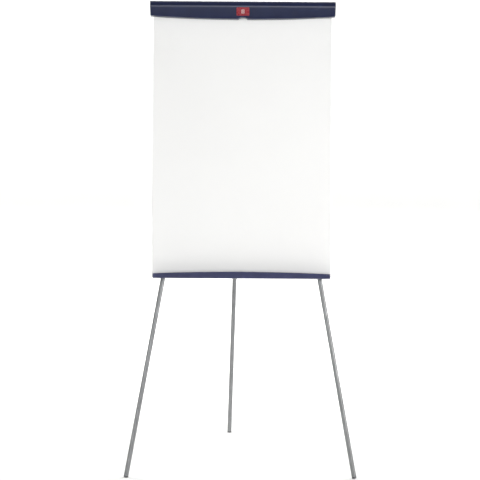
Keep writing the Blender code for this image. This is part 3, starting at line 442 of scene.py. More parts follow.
# polyester powder coat with aluminium flake, baked on steel tube: silver-grey, slightly pebbled, softly
# metallic
powder = {
    "outer": {"colours": ("#767778", "#848586"), "scratch": "#B7BABA", "scratches": 0.25, "patch": 40,
              "pebble": 2.4,
              "line": 1.2, "bump": (0.3, 0.03), "rough": (0.36, 0.46),
              "shader": {"Metallic": 0.45, "IOR": 1.5}},
    # the sliding tubes are rubbed along their length by the collars
    "inner": {"colours": ("#777879", "#868788"), "scratch": "#C2C5C5", "scratches": 0.5, "patch": 40,
              "pebble": 2.4,
              "line": 1.2, "bump": (0.3, 0.03), "rough": (0.32, 0.42), "shader": {"Metallic": 0.5, "IOR": 1.5}},
}


def powderCoat(name, recordSlot, look):
    material, tree, shader, place = newMaterial(name, recordSlot, look)
    cloud = addNode(tree, "TexNoise", {"Scale": perMetre(look["patch"]), "Detail": 5.0}, {"Vector": place})
    tone = toned(tree, cloud.outputs["Fac"], [(0.3, look["colours"][0]), (0.7, look["colours"][1])])
    # scratches: 1 mm wide and some 80 mm long, so the texture is stretched along the tube
    drawn = addNode(tree, "Mapping", {"Scale": (1.0, 1.0, 0.012)}, {"Vector": place})
    lines = addNode(tree, "TexNoise", {"Scale": perMetre(look["line"]), "Detail": 3.0},
                    {"Vector": drawn.outputs["Vector"]})
    rubbed = addNode(tree, "MapRange", {"From Min": 0.6, "From Max": 0.72, "To Min": 0.0,
                                        "To Max": look["scratches"]}, {"Value": lines.outputs["Fac"]})
    letIn(tree, shader, tone, look["scratch"], rubbed.outputs["Result"])
    pebble = addNode(tree, "TexVoronoi", {"Scale": perMetre(look["pebble"]), "feature": "SMOOTH_F1"},
                     {"Vector": place})
    finishSurface(tree, shader, look, lines.outputs["Fac"], pebble.outputs["Distance"])
    return material


outerCoat = powderCoat("silverPowderCoatOuterTube", "silver_tube", powder["outer"])
innerCoat = powderCoat("silverPowderCoatSlidingTube", "silver_tube", powder["inner"])

# rubber: EPDM extruded for the strip, thermoplastic moulded for the feet. Matt, and it holds pale dust
rubbers = {
    "strip": {"colours": ("#1E1F20", "#2A2B2C"), "dust": "#6C6B67", "patch": 14, "grain": 1.4,
              "bump": (0.5, 0.06),
              "rough": (0.62, 0.8), "shader": {"IOR": 1.5}},
    "foot": {"colours": ("#4A4C4E", "#585A5C"), "dust": "#8B8983", "patch": 5, "grain": 1.2,
             "bump": (0.5, 0.06),
             "rough": (0.6, 0.82), "shader": {"IOR": 1.5}},
}


def mattRubber(name, recordSlot, look):
    material, tree, shader, place = newMaterial(name, recordSlot, look)
    cloud = addNode(tree, "TexNoise", {"Scale": perMetre(look["patch"]), "Detail": 6.0, "Roughness": 0.7},
                    {"Vector": place})
    tone = toned(tree, cloud.outputs["Fac"], list(zip((0.3, 0.55, 0.8), (*look["colours"], look["dust"]))))
    tree.links.new(tone, shader.inputs["Base Color"])
    grain = addNode(tree, "TexNoise", {"Scale": perMetre(look["grain"]), "Detail": 3.0}, {"Vector": place})
    finishSurface(tree, shader, look, cloud.outputs["Fac"], grain.outputs["Fac"])
    return material


stripRubber = mattRubber("blackExtrudedRubber", "grip_rubber", rubbers["strip"])
footRubber = mattRubber("greyMouldedFootRubber", "grey_foot_plastic", rubbers["foot"])

# hardboard core: pressed brown fibres, seen only in the hook slots
fibreboard = {"colours": ("#6E5439", "#8A6E4E"), "fibre": 3, "bump": (0.6, 0.2), "rough": (0.8, 0.95),
              "shader": {"IOR": 1.45}}


def pressedFibre(name, recordSlot, look):
    material, tree, shader, place = newMaterial(name, recordSlot, look)
    laid = addNode(tree, "Mapping", {"Scale": (1.0, 4.0, 1.0)}, {"Vector": place})
    fibres = addNode(tree, "TexNoise", {"Scale": perMetre(look["fibre"]), "Detail": 8.0, "Roughness": 0.7},
                     {"Vector": laid.outputs["Vector"]})
    tone = toned(tree, fibres.outputs["Fac"], [(0.35, look["colours"][0]), (0.65, look["colours"][1])])
    tree.links.new(tone, shader.inputs["Base Color"])
    finishSurface(tree, shader, look, fibres.outputs["Fac"], fibres.outputs["Fac"])
    return material


hardboard = pressedFibre("pressedHardboard", "fibre_core", fibreboard)


print("writing board")
# the face: a shallow steel tray, its edges folded back round the core
face = {"edgeRadius": 2.5, "steel": 0.6, "slotClearance": 0.3, "studRadius": 3.0}
faceLow, faceHigh = span("face_sheet", boardFrame)
hookPlaces = {side: inFrame(boardFrame, joints[f"hook_nut_{side}_turn"]["pos_m"]) for side in sides}


def slotOutline(side):
    # the way of a pad hook's stud through the board
    radius = (face["studRadius"] + face["slotClearance"]) * mm
    travel = joints[f"pad_hook_{side}_slide"]["range_m"][1]
    x, z = hookPlaces[side].x, hookPlaces[side].z
    right = circle((x + travel, z), radius, 14, -pi / 2, pi / 2)
    left = circle((x - travel, z), radius, 14, pi / 2, 3 * pi / 2)
    return right + left


def slotTools():
    return [plateShape(slotOutline(side), faceLow.y - 0.02, faceHigh.y + 0.02, axis=1) for side in sides]


def pressedFace():
    # a ring of rounded sections from the front's rim round to the back, over a flat front
    radius = face["edgeRadius"] * mm
    steel = face["steel"] * mm
    rings = []
    halfX, middleZ, halfZ = faceHigh.x, (faceLow.z + faceHigh.z) / 2, (faceHigh.z - faceLow.z) / 2

    def ring(inset, y, cornerRadius):
        # a rounded rectangle at that depth
        x, z = halfX - inset, halfZ - inset
        points = []
        for signX, signZ, start in ((1, 1, 0), (-1, 1, pi / 2), (-1, -1, pi), (1, -1, 3 * pi / 2)):
            centre = (signX * (x - cornerRadius), middleZ + signZ * (z - cornerRadius))
            points += circle(centre, cornerRadius, 8, start, start + pi / 2)
        return [(a, y, b) for a, b in points]

    for i in range(9):
        angle = pi / 2 * i / 8
        inset = radius * (1 - sin(angle))
        rings.append(ring(inset, faceLow.y + radius * (1 - cos(angle)), max(2 * radius - inset, radius)))
    rings.append(ring(0, faceHigh.y, 2 * radius))
    rings.append(ring(steel, faceHigh.y, 2 * radius - steel))
    inner = radius - steel
    for i in range(9):
        angle = pi / 2 * (1 - i / 8)
        inset = steel + inner * (1 - sin(angle))
        y = faceLow.y + steel + inner * (1 - cos(angle))
        rings.append(ring(inset, y, max(2 * radius - inset, radius - steel / 2)))
    return loftShape(rings)


addPiece("writingFace", pressedFace(), boardFrame, "board", whiteEnamel, ["face_sheet"], cut=slotTools(),
         sharpest=25)

backLow, backHigh = span("back_sheet", boardFrame)
backOutline = fillet([(backLow.x, backLow.z), (backHigh.x, backLow.z), (backHigh.x, backHigh.z),
                      (backLow.x, backHigh.z)], 1.5 * mm)
addPiece("boardBack", plateShape(backOutline, backLow.y, backHigh.y, axis=1), boardFrame, "board", zincSheet,
         ["back_sheet"], cut=slotTools(), sharpest=30)
frame["nodes"]["board_core"].data.materials.clear()
frame["nodes"]["board_core"].data.materials.append(hardboard)


print("clamp bar")
# a long curved cover: rolled over the hinge rod, round shoulder, flat front, short flange back to the paper
bar = {"wall": 2.0, "shoulder": 28.5, "bottomRadius": 4.0, "draft": 0.4, "endRound": 2.2, "endSlant": 3.0,
       "endReach": 12.0, "notchChord": 35.5, "notchRise": 7.0, "notchBlend": 1.5, "lip": 3.5, "endCap": 2.5,
       "gap": 0.3, "rollStart": 34}
coverLow, coverHigh = span("clamp_bar_cover", barFrame)
capLow = span("clamp_bar_end_left", barFrame)[0]
stripLow, stripHigh = span("grip_strip", barFrame)
barHalf = -capLow.x
barFront = coverLow.y
barRoll = coverHigh.z
barMiddleDrop, barEndDrop = coverLow.z, capLow.z
paperY = stripHigh.y  # the strip's face, just off the board


def barBottom(x):
    # the bowed bottom edge, with the finger notch let into its middle
    edge = barMiddleDrop + (barEndDrop - barMiddleDrop) * (x / barHalf) ** 2
    chord, rise = bar["notchChord"] * mm, bar["notchRise"] * mm
    radius = (chord * chord / 4 + rise * rise) / (2 * rise)
    if abs(x) >= radius:
        return edge
    notch = barMiddleDrop + rise - radius + sqrt(radius * radius - x * x)
    soft = bar["notchBlend"] * mm
    # a soft larger-of-two, so that the notch's corners are slightly round
    return (edge + notch + sqrt((edge - notch) ** 2 + soft * soft * 0.25)) / 2


def barStations(half):
    chord = bar["notchChord"] * mm / 2
    coarse = [chord * 1.5 + (half - chord * 1.5 - 0.008) * i / 18 for i in range(19)]
    fine = [chord * 1.5 * i / 26 for i in range(26)]
    tip = [half - 0.008 * (1 - i / 6) for i in range(1, 7)]
    positive = fine + coarse + tip
    return [-x for x in reversed(positive[1:])] + positive


def barLine(x):
    # the outer line from the roll's rear edge over the top, down the front and back along the flange
    size = bar["endRound"] * mm
    past = min(size, max(0.0, abs(x) - barHalf + size))
    inset = size - sqrt(size * size - past * past)
    front = barFront + inset
    shoulder = barRoll - bar["shoulder"] * mm
    bottom = barBottom(x) + inset
    corner = bar["bottomRadius"] * mm
    top = barRoll - inset
    line = circle((0, 0), top, 12, radians(bar["rollStart"]), pi / 2)
    for i in range(1, 21):
        t = i / 20
        weights = ((1 - t) ** 3, 3 * (1 - t) ** 2 * t, 3 * (1 - t) * t * t, t ** 3)
        controls = ((0, top), (0.56 * front, top),
                    (front, shoulder + 0.45 * bar["shoulder"] * mm), (front, shoulder))
        line.append(tuple(sum(w * c[k] for w, c in zip(weights, controls)) for k in (0, 1)))
    draft = bar["draft"] * mm
    for share in (0.35, 0.7):
        line.append((front + draft * share, shoulder + (bottom + corner - shoulder) * share))
    line += circle((front + draft + corner, bottom + corner), corner, 8, pi, 3 * pi / 2)
    line.append((paperY + 0.0003 - bar["lip"] * mm, bottom))
    return line


def slanted(x, line):
    # the bar's ends lean inwards towards its lower edge
    near = max(0.0, abs(x) - barHalf + bar["endReach"] * mm) / (bar["endReach"] * mm)
    pull = bar["endSlant"] * mm * near / (barRoll - barEndDrop)
    return [(x - (pull if x > 0 else -pull) * (barRoll - z), y, z) for y, z in line]


def barSection(x):
    outer = barLine(x)
    return slanted(x, outer + offsetLine(outer, -bar["wall"] * mm)[::-1])


cover = loftShape([barSection(x) for x in barStations(coverHigh.x)])
addPiece("clampBarCover", cover, barFrame, "clamp_bar", navyAbs, ["clamp_bar_cover"], sharpest=50)

rodRadius = 2.5 * mm
for sign, side in ((-1, "left"), (1, "right")):
    # end caps close the bar, their outer rim rounded
    cap, size = bar["endCap"] * mm, bar["endRound"] * mm
    stations = [barHalf - cap] + [barHalf - size + size * sin(pi / 2 * i / 8) for i in range(9)]
    back = (0.83 * barRoll, -0.6 * barRoll)
    capShape = loftShape([slanted(sign * x, barLine(min(x, barHalf - 0.00001)) + [back]) for x in stations])
    hole = plateShape(circle((0, 0), rodRadius + bar["gap"] * mm, 32), barHalf - 0.01, barHalf + 0.01)
    if sign < 0:
        bmesh.ops.translate(hole, verts=hole.verts, vec=(-2 * barHalf, 0, 0))
    addPiece(f"clampBarEnd.{side}", capShape, barFrame, "clamp_bar", navyAbs, [f"clamp_bar_end_{side}"],
             cut=[hole],
             sharpest=35)

# rubber strip that grips the paper: ribbed lengthwise on its pressing face
strip = {"ribs": 4, "ribDepth": 0.5}


def stripSection(x):
    bottom = barBottom(x) + 0.0001
    top = barMiddleDrop + stripHigh.z - stripLow.z + (barBottom(x) - barMiddleDrop) * 0.999
    top = max(top, bottom + 0.004)
    back, front = stripHigh.y, stripLow.y
    points = [(front, bottom), (front, top)]
    pitch = (top - bottom) / strip["ribs"]
    for i in range(strip["ribs"]):
        ceiling = top - i * pitch
        points += [(back, ceiling - 0.12 * pitch), (back, ceiling - 0.62 * pitch),
                   (back - strip["ribDepth"] * mm, ceiling - 0.8 * pitch)]
    points[-1] = (back - strip["ribDepth"] * mm, bottom)
    return [(x, y, z) for y, z in points]


addPiece("gripStrip", loftShape([stripSection(x) for x in barStations(stripHigh.x)]), barFrame, "clamp_bar",
         stripRubber, ["grip_strip"], sharpest=30)

# badge: a plain raised plate with a rim, and a blank page drawn on it in pale ink
badge = {"corner": 3.0, "rim": 1.3, "sink": 0.5, "page": (10.5, 14.0), "line": 1.1, "ink": 0.12}
badgeLow, badgeHigh = span("badge_plate", barFrame)
badgeMiddle = (badgeLow.z + badgeHigh.z) / 2


def roundedBox(halfX, halfZ, radius):
    corners = [(-halfX, badgeMiddle - halfZ), (halfX, badgeMiddle - halfZ), (halfX, badgeMiddle + halfZ),
               (-halfX, badgeMiddle + halfZ)]
    return fillet(corners, radius, steps=8)


halfX, halfZ = badgeHigh.x, (badgeHigh.z - badgeLow.z) / 2
rim, corner = badge["rim"] * mm, badge["corner"] * mm
well = plateShape(roundedBox(halfX - rim, halfZ - rim, corner - rim / 2), badgeLow.y - 0.001,
                  badgeLow.y + badge["sink"] * mm, axis=1)
addPiece("badgePlate", plateShape(roundedBox(halfX, halfZ, corner), badgeLow.y, badgeHigh.y, axis=1), barFrame,
         "clamp_bar", redAbs, ["badge_plate"], cut=[well], bevel=0.25)
# screen-printed ink: flat, slightly uneven, matt
ink = {"colours": ("#E4DCD8", "#ECE6E2"), "dust": "#F0ECE8", "patch": 5, "grain": 1.0, "bump": (0.5, 0.06),
       "rough": (0.5, 0.6), "shader": {"IOR": 1.5}}
paleInk = mattRubber("paleScreenPrintedInk", "red_badge", ink)
inkBack = badgeLow.y + badge["sink"] * mm
inkFront = inkBack - badge["ink"] * mm


def inkBar(x, z, wide, high):
    return fillet([(x - wide / 2, z - high / 2), (x + wide / 2, z - high / 2), (x + wide / 2, z + high / 2),
                   (x - wide / 2, z + high / 2)], 0.3 * mm, steps=3)


pageX, pageZ = (size * mm / 2 for size in badge["page"])
width = badge["line"] * mm
rings = [fillet([(-a, badgeMiddle - b), (a, badgeMiddle - b), (a, badgeMiddle + b), (-a, badgeMiddle + b)],
                1.2 * mm)
         for a, b in ((pageX, pageZ), (pageX - width, pageZ - width))]
addPiece("badgePage", plateShape(rings[0], inkFront, inkBack, [rings[1]], axis=1), barFrame, "clamp_bar",
         paleInk)
for i, share in enumerate((0.45, 0.0, -0.45)):
    outline = inkBar(0, badgeMiddle + share * pageZ, 1.1 * pageX, width)
    addPiece(f"badgePageLine{i + 1}", plateShape(outline, inkFront, inkBack, axis=1), barFrame, "clamp_bar",
             paleInk)


print("hinge rod, brackets and springs")
bracket = {"corner": 1.2, "neck": 2.7, "knuckle": 4.2, "sheet": 2.0}
for name in ("left", "middle", "right"):
    low, high = span(f"clamp_bracket_{name}", barFrame)
    top = span(f"clamp_bracket_{name}", barFrame, lambda p: p.y > high.y - 0.0005)[1].z
    neck, sheet = bracket["neck"] * mm, bracket["sheet"] * mm
    knuckle = circle((0, 0), bracket["knuckle"] * mm, 30, radians(-50), radians(230))
    flat = fillet([knuckle[-1], (-neck, top - sheet), (high.y - sheet, top - sheet), (high.y - sheet, low.z),
                   (high.y, low.z), (high.y, top), (neck, top), knuckle[0]],
                  [0, 0, 1 * mm, 0.4 * mm, 0.4 * mm, 3 * mm, 1 * mm, 0], closed=False)
    outline = knuckle[1:-1] + flat
    hole = circle((0, 0), rodRadius + bar["gap"] * mm, 32)
    addPiece(f"hingeBracket.{name}", plateShape(outline, low.x, high.x, [hole]), barFrame, "board", brightZinc,
             [f"clamp_bracket_{name}"], bevel=0.3)

rodLow, rodHigh = span("clamp_hinge_rod", barFrame)
tip = 0.5 * mm
rodProfile = fillet([(0, rodHigh.x), (rodRadius - tip, rodHigh.x), (rodRadius, rodHigh.x - tip),
                     (rodRadius, rodLow.x + tip), (rodRadius - tip, rodLow.x), (0, rodLow.x)], 0.3 * mm,
                    closed=False)
addPiece("hingeRod", turnedShape(rodProfile, 40), turnedTo(barFrame, (0, 0, 0), "right"), "board", brightZinc,
         ["clamp_hinge_rod"])

spring = {"wire": 0.6, "coil": 3.7, "turns": 4, "pitch": 1.56, "steps": 36}
boardTop = (barFrame.inverted() @ boardFrame @ Vector((0, 0, faceHigh.z))).z
faceInBar = (barFrame.inverted() @ boardFrame @ faceLow).y
for sign, side in ((-1, "left"), (1, "right")):
    low, high = span(f"clamp_spring_{side}", barFrame)
    start = high.x if sign < 0 else low.x
    wire, coil = spring["wire"] * mm, spring["coil"] * mm
    points = [(start, faceInBar + 0.004, boardTop + 2 * wire)]
    for i in range(spring["turns"] * spring["steps"] + 1):
        angle = -pi / 2 - 2 * pi * i / spring["steps"]
        x = start + sign * spring["pitch"] * mm * (i / spring["steps"] + 0.5)
        points.append((x, coil * cos(angle), coil * sin(angle)))
    points.append((start + sign * spring["pitch"] * mm * (spring["turns"] + 0.8), low.y + wire, -coil))
    curve = bpy.data.curves.new(f"torsionSpring.{side}", "CURVE")
    curve.dimensions = "3D"
    curve.bevel_depth = wire
    curve.bevel_resolution = 3
    curve.use_fill_caps = True
    spline = curve.splines.new("POLY")
    spline.points.add(len(points) - 1)
    for point, place in zip(spline.points, points):
        point.co = (*place, 1)
    piece = bpy.data.objects.new(f"torsionSpring.{side}", curve)
    bpy.context.scene.collection.objects.link(piece)
    curve.materials.append(temperedWire)
    piece.matrix_world = barFrame
    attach(piece, "board")
    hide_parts(f"clamp_spring_{side}")


print("pad hooks")
hook = {"peg": 3.0, "groove": 0.5, "washer": 2.0, "edge": 0.4}
for side in sides:
    low, high = span(f"pad_hook_{side}", boardFrame)
    x, z = hookPlaces[side].x, hookPlaces[side].z
    peg, washer = hook["peg"] * mm, hook["washer"] * mm
    wide = (high.x - low.x) / 2
    face0 = faceLow.y - 0.0003
    # heights run forwards from the stud's end
    tipZ, faceZ, washerZ = high.y - low.y, high.y - face0, high.y - face0 + washer
    profile = [(0, tipZ), (0.55 * peg, tipZ), (peg, tipZ - 0.45 * peg), (peg, tipZ - 0.9 * peg),
               (peg - hook["groove"] * mm, tipZ - 1.1 * peg), (peg - hook["groove"] * mm, washerZ + 0.9 * peg),
               (peg, washerZ + 0.7 * peg), (1.5 * peg, washerZ), (wide, washerZ), (wide, faceZ), (peg, faceZ),
               (peg, 0.6 * mm), (peg - 0.6 * mm, 0), (0, 0)]
    where = turnedTo(boardFrame, (x, high.y, z), "front")
    addPiece(f"padHook.{side}", turnedShape(fillet(profile, hook["edge"] * mm, closed=False)), where,
             f"pad_hook_{side}", brightZinc, [f"pad_hook_{side}"])

nut = {"lobes": 6, "flute": 1.6, "crown": 1.2, "well": 0.55, "wellDepth": 1.2, "bore": 3.3}


def gripRings(radius, height, look):
    # a grip from its foot to its crown, in (radius, height, flute depth), with a shallow well on top
    flute, crown = look["flute"] * mm, look["crown"] * mm
    well = look["well"] * radius
    return [
        (0.62 * radius, 0, 0), (0.7 * radius, 0.02 * height, 0.05 * flute),
        (0.86 * radius, 0.14 * height, 0.5 * flute), (0.97 * radius, 0.24 * height, 0.9 * flute),
            (radius, 0.34 * height, flute),
        (radius, height - crown * 1.1, flute), (radius - 0.15 * crown, height - 0.55 * crown, 0.97 * flute),
        (radius - 0.5 * crown, height - 0.15 * crown, 0.88 * flute), (radius - crown, height, 0.75 * flute),
        (well + 0.5 * mm, height, 0), (well + 0.12 * mm, height - 0.15 * mm, 0),
        (well, height - 0.5 * mm, 0), (well - 0.3 * mm, height - look["wellDepth"] * mm, 0),
        (0.3 * mm, height - look["wellDepth"] * mm, 0),
    ]


for side in sides:
    low, high = span(f"hook_nut_{side}", boardFrame)
    radius = (high.x - low.x) / 2
    where = turnedTo(boardFrame, (hookPlaces[side].x, low.y, hookPlaces[side].z), "back")
    stud = span(f"pad_hook_{side}", boardFrame)[1].y - low.y
    bore = turnedShape([(0, stud + 0.0003), (nut["bore"] * mm, stud + 0.0003), (nut["bore"] * mm, -0.001),
                        (0, -0.001)], 40)
    addPiece(f"hookNut.{side}", lobedShape(gripRings(radius, high.y - low.y, nut), nut["lobes"]), where,
             f"hook_nut_{side}", blackNylon, [f"hook_nut_{side}"], cut=[bore], sharpest=42)


fixing = {"screwHole": 2.3, "rivetHole": 3.3}


def middleOf(node, where):
    low, high = span(node, where)
    return (low.x + high.x) / 2, (low.z + high.z) / 2


def screwHole(node, near, far):
    # a screw's way through a sheet, from front to back
    return plateShape(circle(middleOf(node, boardFrame), fixing["screwHole"] * mm, 24), near, far, axis=1)


print("pen tray")
tray = {"wall": 2.0, "corner": 5.0, "backBend": 3.5, "ridge": 1.0, "ridgeHalf": 1.6, "ridges": (0.36, 0.62)}
trayLow, trayHigh = span("pen_tray", boardFrame)
trayEndLow, trayEndHigh = span("tray_end_left", boardFrame)
lipMiddle = span("pen_tray", boardFrame, lambda p: p.y < trayLow.y + 0.0005)[1].z
lipEnd = trayEndHigh.z
trayHalf = -trayEndLow.x


def trayLip(x):
    return lipMiddle - (lipMiddle - lipEnd) * (x / trayHalf) ** 2


def trayOuter(x):
    # the outer line: lip, round corner, floor, and up behind the board
    corner = tray["corner"] * mm
    line = [(trayLow.y, trayLip(x))]
    line += circle((trayLow.y + corner, trayLow.z + corner), corner, 8, pi, 3 * pi / 2)
    back = fillet([(trayLow.y + 2 * corner, trayLow.z), (trayHigh.y, trayLow.z), (trayHigh.y, trayHigh.z)],
                  tray["backBend"] * mm, closed=False)
    return line + back


def traySection(x):
    wall = tray["wall"] * mm
    outer = trayOuter(x)
    inner = offsetLine(outer, -wall)
    floorStart, floorEnd = trayLow.y + 2 * tray["corner"] * mm, faceLow.y
    # two low ridges keep pens from rolling
    ridges = []
    for share in tray["ridges"]:
        middle = floorStart + (floorEnd - floorStart) * share
        for step in range(7):
            across = step / 3 - 1
            ridges.append((middle + across * tray["ridgeHalf"] * mm,
                           trayLow.z + wall + tray["ridge"] * mm * (0.5 + 0.5 * cos(pi * across))))
    before = [p for p in inner if p[1] > trayLow.z + wall + 0.0001 and p[0] < floorStart]
    corner = [p for p in inner if p[0] < floorStart + 0.0001 and p not in before]
    after = [p for p in inner if p not in before and p not in corner]
    lip = circle((trayLow.y + wall / 2, outer[0][1]), wall / 2, 6, pi, 0)[1:-1]
    whole = outer + (before + corner + ridges + after)[::-1] + lip[::-1]
    return [(x, y, z) for y, z in whole]


count = 47  # odd, so that no edge runs through the middle screw's hole
trayInnerHalf = trayHigh.x
stations = [trayInnerHalf * (2 * i / count - 1) for i in range(count + 1)]
trayHoles = [screwHole(f"tray_screw_{name}", trayHigh.y - 0.006, trayHigh.y + 0.001)
             for name in ("left", "middle", "right")]
addPiece("penTray", loftShape([traySection(x) for x in stations]), boardFrame, "board", trayAbs, ["pen_tray"],
         cut=trayHoles, sharpest=45)
for sign, side in ((-1, "left"), (1, "right")):
    low, high = span(f"tray_end_{side}", boardFrame)
    outline = [p for p in trayOuter(sign * trayHalf) if p[0] < high.y - 0.001 and p[1] <= lipEnd + 0.0001]
    outline += fillet([(high.y - 0.001, low.z), (high.y, low.z), (high.y, high.z), (trayLow.y, high.z)],
                      [0, 0.5 * mm, 3 * mm, 0], closed=False)[:-1]
    addPiece(f"penTrayEnd.{side}", plateShape(outline, low.x, high.x), boardFrame, "board", trayAbs,
             [f"tray_end_{side}"], bevel=0.5)


print("screws and rivets")
screw = {"headHeight": 1.8, "shank": 2.0, "cross": (2.9, 0.75), "crossDepth": 1.0}
screwNodes = [f"tray_screw_{name}" for name in ("left", "middle", "right")]
screwNodes += [f"head_rail_screw_{i}" for i in range(1, 5)] + [f"guide_rail_screw_{side}" for side in sides]


def crossOutline(long, wide):
    a, b = long * mm / 2, wide * mm / 2
    return [(a, -b), (a, b), (b, b), (b, a), (-b, a), (-b, b),
            (-a, b), (-a, -b), (-b, -b), (-b, -a), (b, -a), (b, -b)]


for number, node in enumerate(screwNodes):
    low, high = span(node, boardFrame)
    radius, height, shank = (high.x - low.x) / 2, screw["headHeight"] * mm, screw["shank"] * mm
    base = high.y - height
    profile = [(0, height), (0.5 * radius, 0.93 * height), (0.85 * radius, 0.62 * height),
               (radius, 0.22 * height),
               (radius, 0), (shank, 0), (shank, low.y - base + 0.3 * mm), (shank - 0.3 * mm, low.y - base),
               (0, low.y - base)]
    where = turnedTo(boardFrame, ((low.x + high.x) / 2, base, (low.z + high.z) / 2), "back")
    recess = plateShape(crossOutline(*screw["cross"]), height - screw["crossDepth"] * mm, height + 0.001,
                        axis=2)
    spin = Matrix.Rotation(radians(37 * number), 4, "Z")  # each was driven home at its own angle
    addPiece(node.replace("_", "."), turnedShape(fillet(profile, 0.25 * mm, closed=False, steps=3), 40),
             where @ spin,
             "board", brightZinc, [node], cut=[recess], sharpest=40)


def rivetProfile(node, where, flushFront):
    # from the domed head behind to the front end, as (radius, height along Y)
    low, high = span(node, where)
    head, shank = (high.x - low.x) / 2, 3.0 * mm
    dome = 0.7 * shank
    profile = [(head * sin(radians(a)), high.y - dome + dome * cos(radians(a))) for a in range(0, 90, 10)]
    profile += [(head, high.y - dome), (shank, high.y - dome)]
    if flushFront:
        profile += [(shank, low.y), (0.3 * shank, low.y), (0, low.y)]
    else:
        profile.append((shank, low.y + dome))
        profile += [(head * sin(radians(a)), low.y + dome - dome * cos(radians(a))) for a in range(90, -1, -10)]
    return profile


for side in sides:
    centre = inFrame(boardFrame, joints[f"{side}_leg_swing"]["pos_m"])
    addPiece(f"legRivet.{side}", turnedShape(rivetProfile(f"{side}_leg_rivet", boardFrame, True), 48),
             turnedTo(boardFrame, (centre.x, 0, centre.z), "back"), "board", brightZinc, [f"{side}_leg_rivet"])
swayPoint = inFrame(yokeFrame, joints["rear_leg_sway"]["pos_m"])
addPiece("swayRivet", turnedShape(rivetProfile("rear_sway_rivet", yokeFrame, False), 48),
         turnedTo(yokeFrame, (0, 0, swayPoint.z), "back"), "rear_yoke", brightZinc, ["rear_sway_rivet"])

pinLow, pinHigh = span("rear_hinge_pin", boardFrame)
pinRadius, pinHead, pinCap = 3.0 * mm, (pinHigh.z - pinLow.z) / 2, 1.5 * mm
pinProfile = [(0, pinHigh.x), (0.75 * pinHead, pinHigh.x), (pinHead, pinHigh.x - 0.5 * pinCap),
              (pinHead, pinHigh.x - pinCap), (pinRadius, pinHigh.x - pinCap), (pinRadius, pinLow.x + pinCap),
              (pinHead, pinLow.x + pinCap), (pinHead, pinLow.x + 0.5 * pinCap), (0.75 * pinHead, pinLow.x),
              (0, pinLow.x)]
hingePoint = inFrame(boardFrame, joints["rear_leg_fold"]["pos_m"])
addPiece("rearHingePin", turnedShape(fillet(pinProfile, 0.3 * mm, closed=False), 48),
         turnedTo(boardFrame, hingePoint, "right"), "board", brightZinc, ["rear_hinge_pin"])


print("head rail, yoke and guide rail")
rail = {"sheet": 1.5, "bend": 2.2, "ear": 2.5, "earRadius": 12.0, "play": 0.7, "stopLap": 3.0, "stopSheet": 2.5}
railLow, railHigh = span("head_rail", boardFrame)
legPlane = inFrame(boardFrame, joints["left_leg_swing"]["pos_m"])
sheet = rail["sheet"] * mm
railFront, railBack = railLow.y, 2 * legPlane.y - railLow.y
railWeb = span("head_rail", boardFrame, lambda p: abs(p.y - railBack) < 0.0002 and abs(p.x) > 0.05)[1].z
railOutline = fillet(
    [(railFront, railLow.z), (railFront + sheet, railLow.z), (railFront + sheet, railWeb - sheet),
     (railBack - sheet, railWeb - sheet), (railBack - sheet, railLow.z), (railBack, railLow.z),
     (railBack, railWeb),
     (railFront + sheet, railWeb), (railFront + sheet, railHigh.z), (railFront, railHigh.z)],
    [0.3 * mm, 0.3 * mm, 1.0 * mm, 1.0 * mm, 0.3 * mm, 0.3 * mm, rail["bend"] * mm, 0.8 * mm, 0.3 * mm,
     0.3 * mm])
yokeLow, yokeHigh = span("rear_yoke", yokeFrame)
shoulderZ = span("rear_yoke", yokeFrame, lambda p: p.y > yokeHigh.y - 0.0002)[1].z
corner = boardFrame.inverted() @ yokeFrame @ Vector((0, yokeHigh.y, shoulderZ))
stopY, stopZ = corner.y + rail["stopLap"] * mm, corner.z + bar["gap"] * mm
lap, stopSheet = rail["stopLap"] * mm, rail["stopSheet"] * mm
earIn = yokeHigh.x + rail["play"] * mm
earOut = earIn + rail["ear"] * mm
earOutline = [(railBack - 0.6 * sheet, hingePoint.z - rail["earRadius"] * mm)]
earOutline += circle((hingePoint.y, hingePoint.z), rail["earRadius"] * mm, 14, -pi / 2, radians(-10))
earOutline += fillet([(stopY, stopZ - lap), (stopY, stopZ + stopSheet + lap),
                      (hingePoint.y, hingePoint.z + rail["earRadius"] * mm)], [1 * mm, 2 * mm, 5 * mm],
                     closed=False)
earOutline += [(railBack - 0.6 * sheet, hingePoint.z + rail["earRadius"] * mm)]
ears = [plateShape(earOutline, earIn, earOut), plateShape(earOutline, -earOut, -earIn)]
strap = plateShape([(stopY - 3 * lap, stopZ), (stopY - 0.0003, stopZ), (stopY - 0.0003, stopZ + stopSheet),
                    (stopY - 3 * lap, stopZ + stopSheet)], -earOut + 0.001, earOut - 0.001)
rivetHole = fixing["rivetHole"] * mm
railHoles = [plateShape(circle((hingePoint.y, hingePoint.z), rivetHole, 32), -0.05, 0.05)]
for side in sides:
    point = inFrame(boardFrame, joints[f"{side}_leg_swing"]["pos_m"])
    railHoles.append(plateShape(circle((point.x, point.z), rivetHole, 32), railFront - 0.01, railBack + 0.01,
                                axis=1))
railHoles += [screwHole(f"head_rail_screw_{i}", railFront - 0.01, railFront + 0.005) for i in range(1, 5)]
addPiece("headRail", plateShape(railOutline, railLow.x, railHigh.x), boardFrame, "board", zincSheet,
         ["head_rail"],
         join=[*ears, strap], cut=railHoles, sharpest=32)

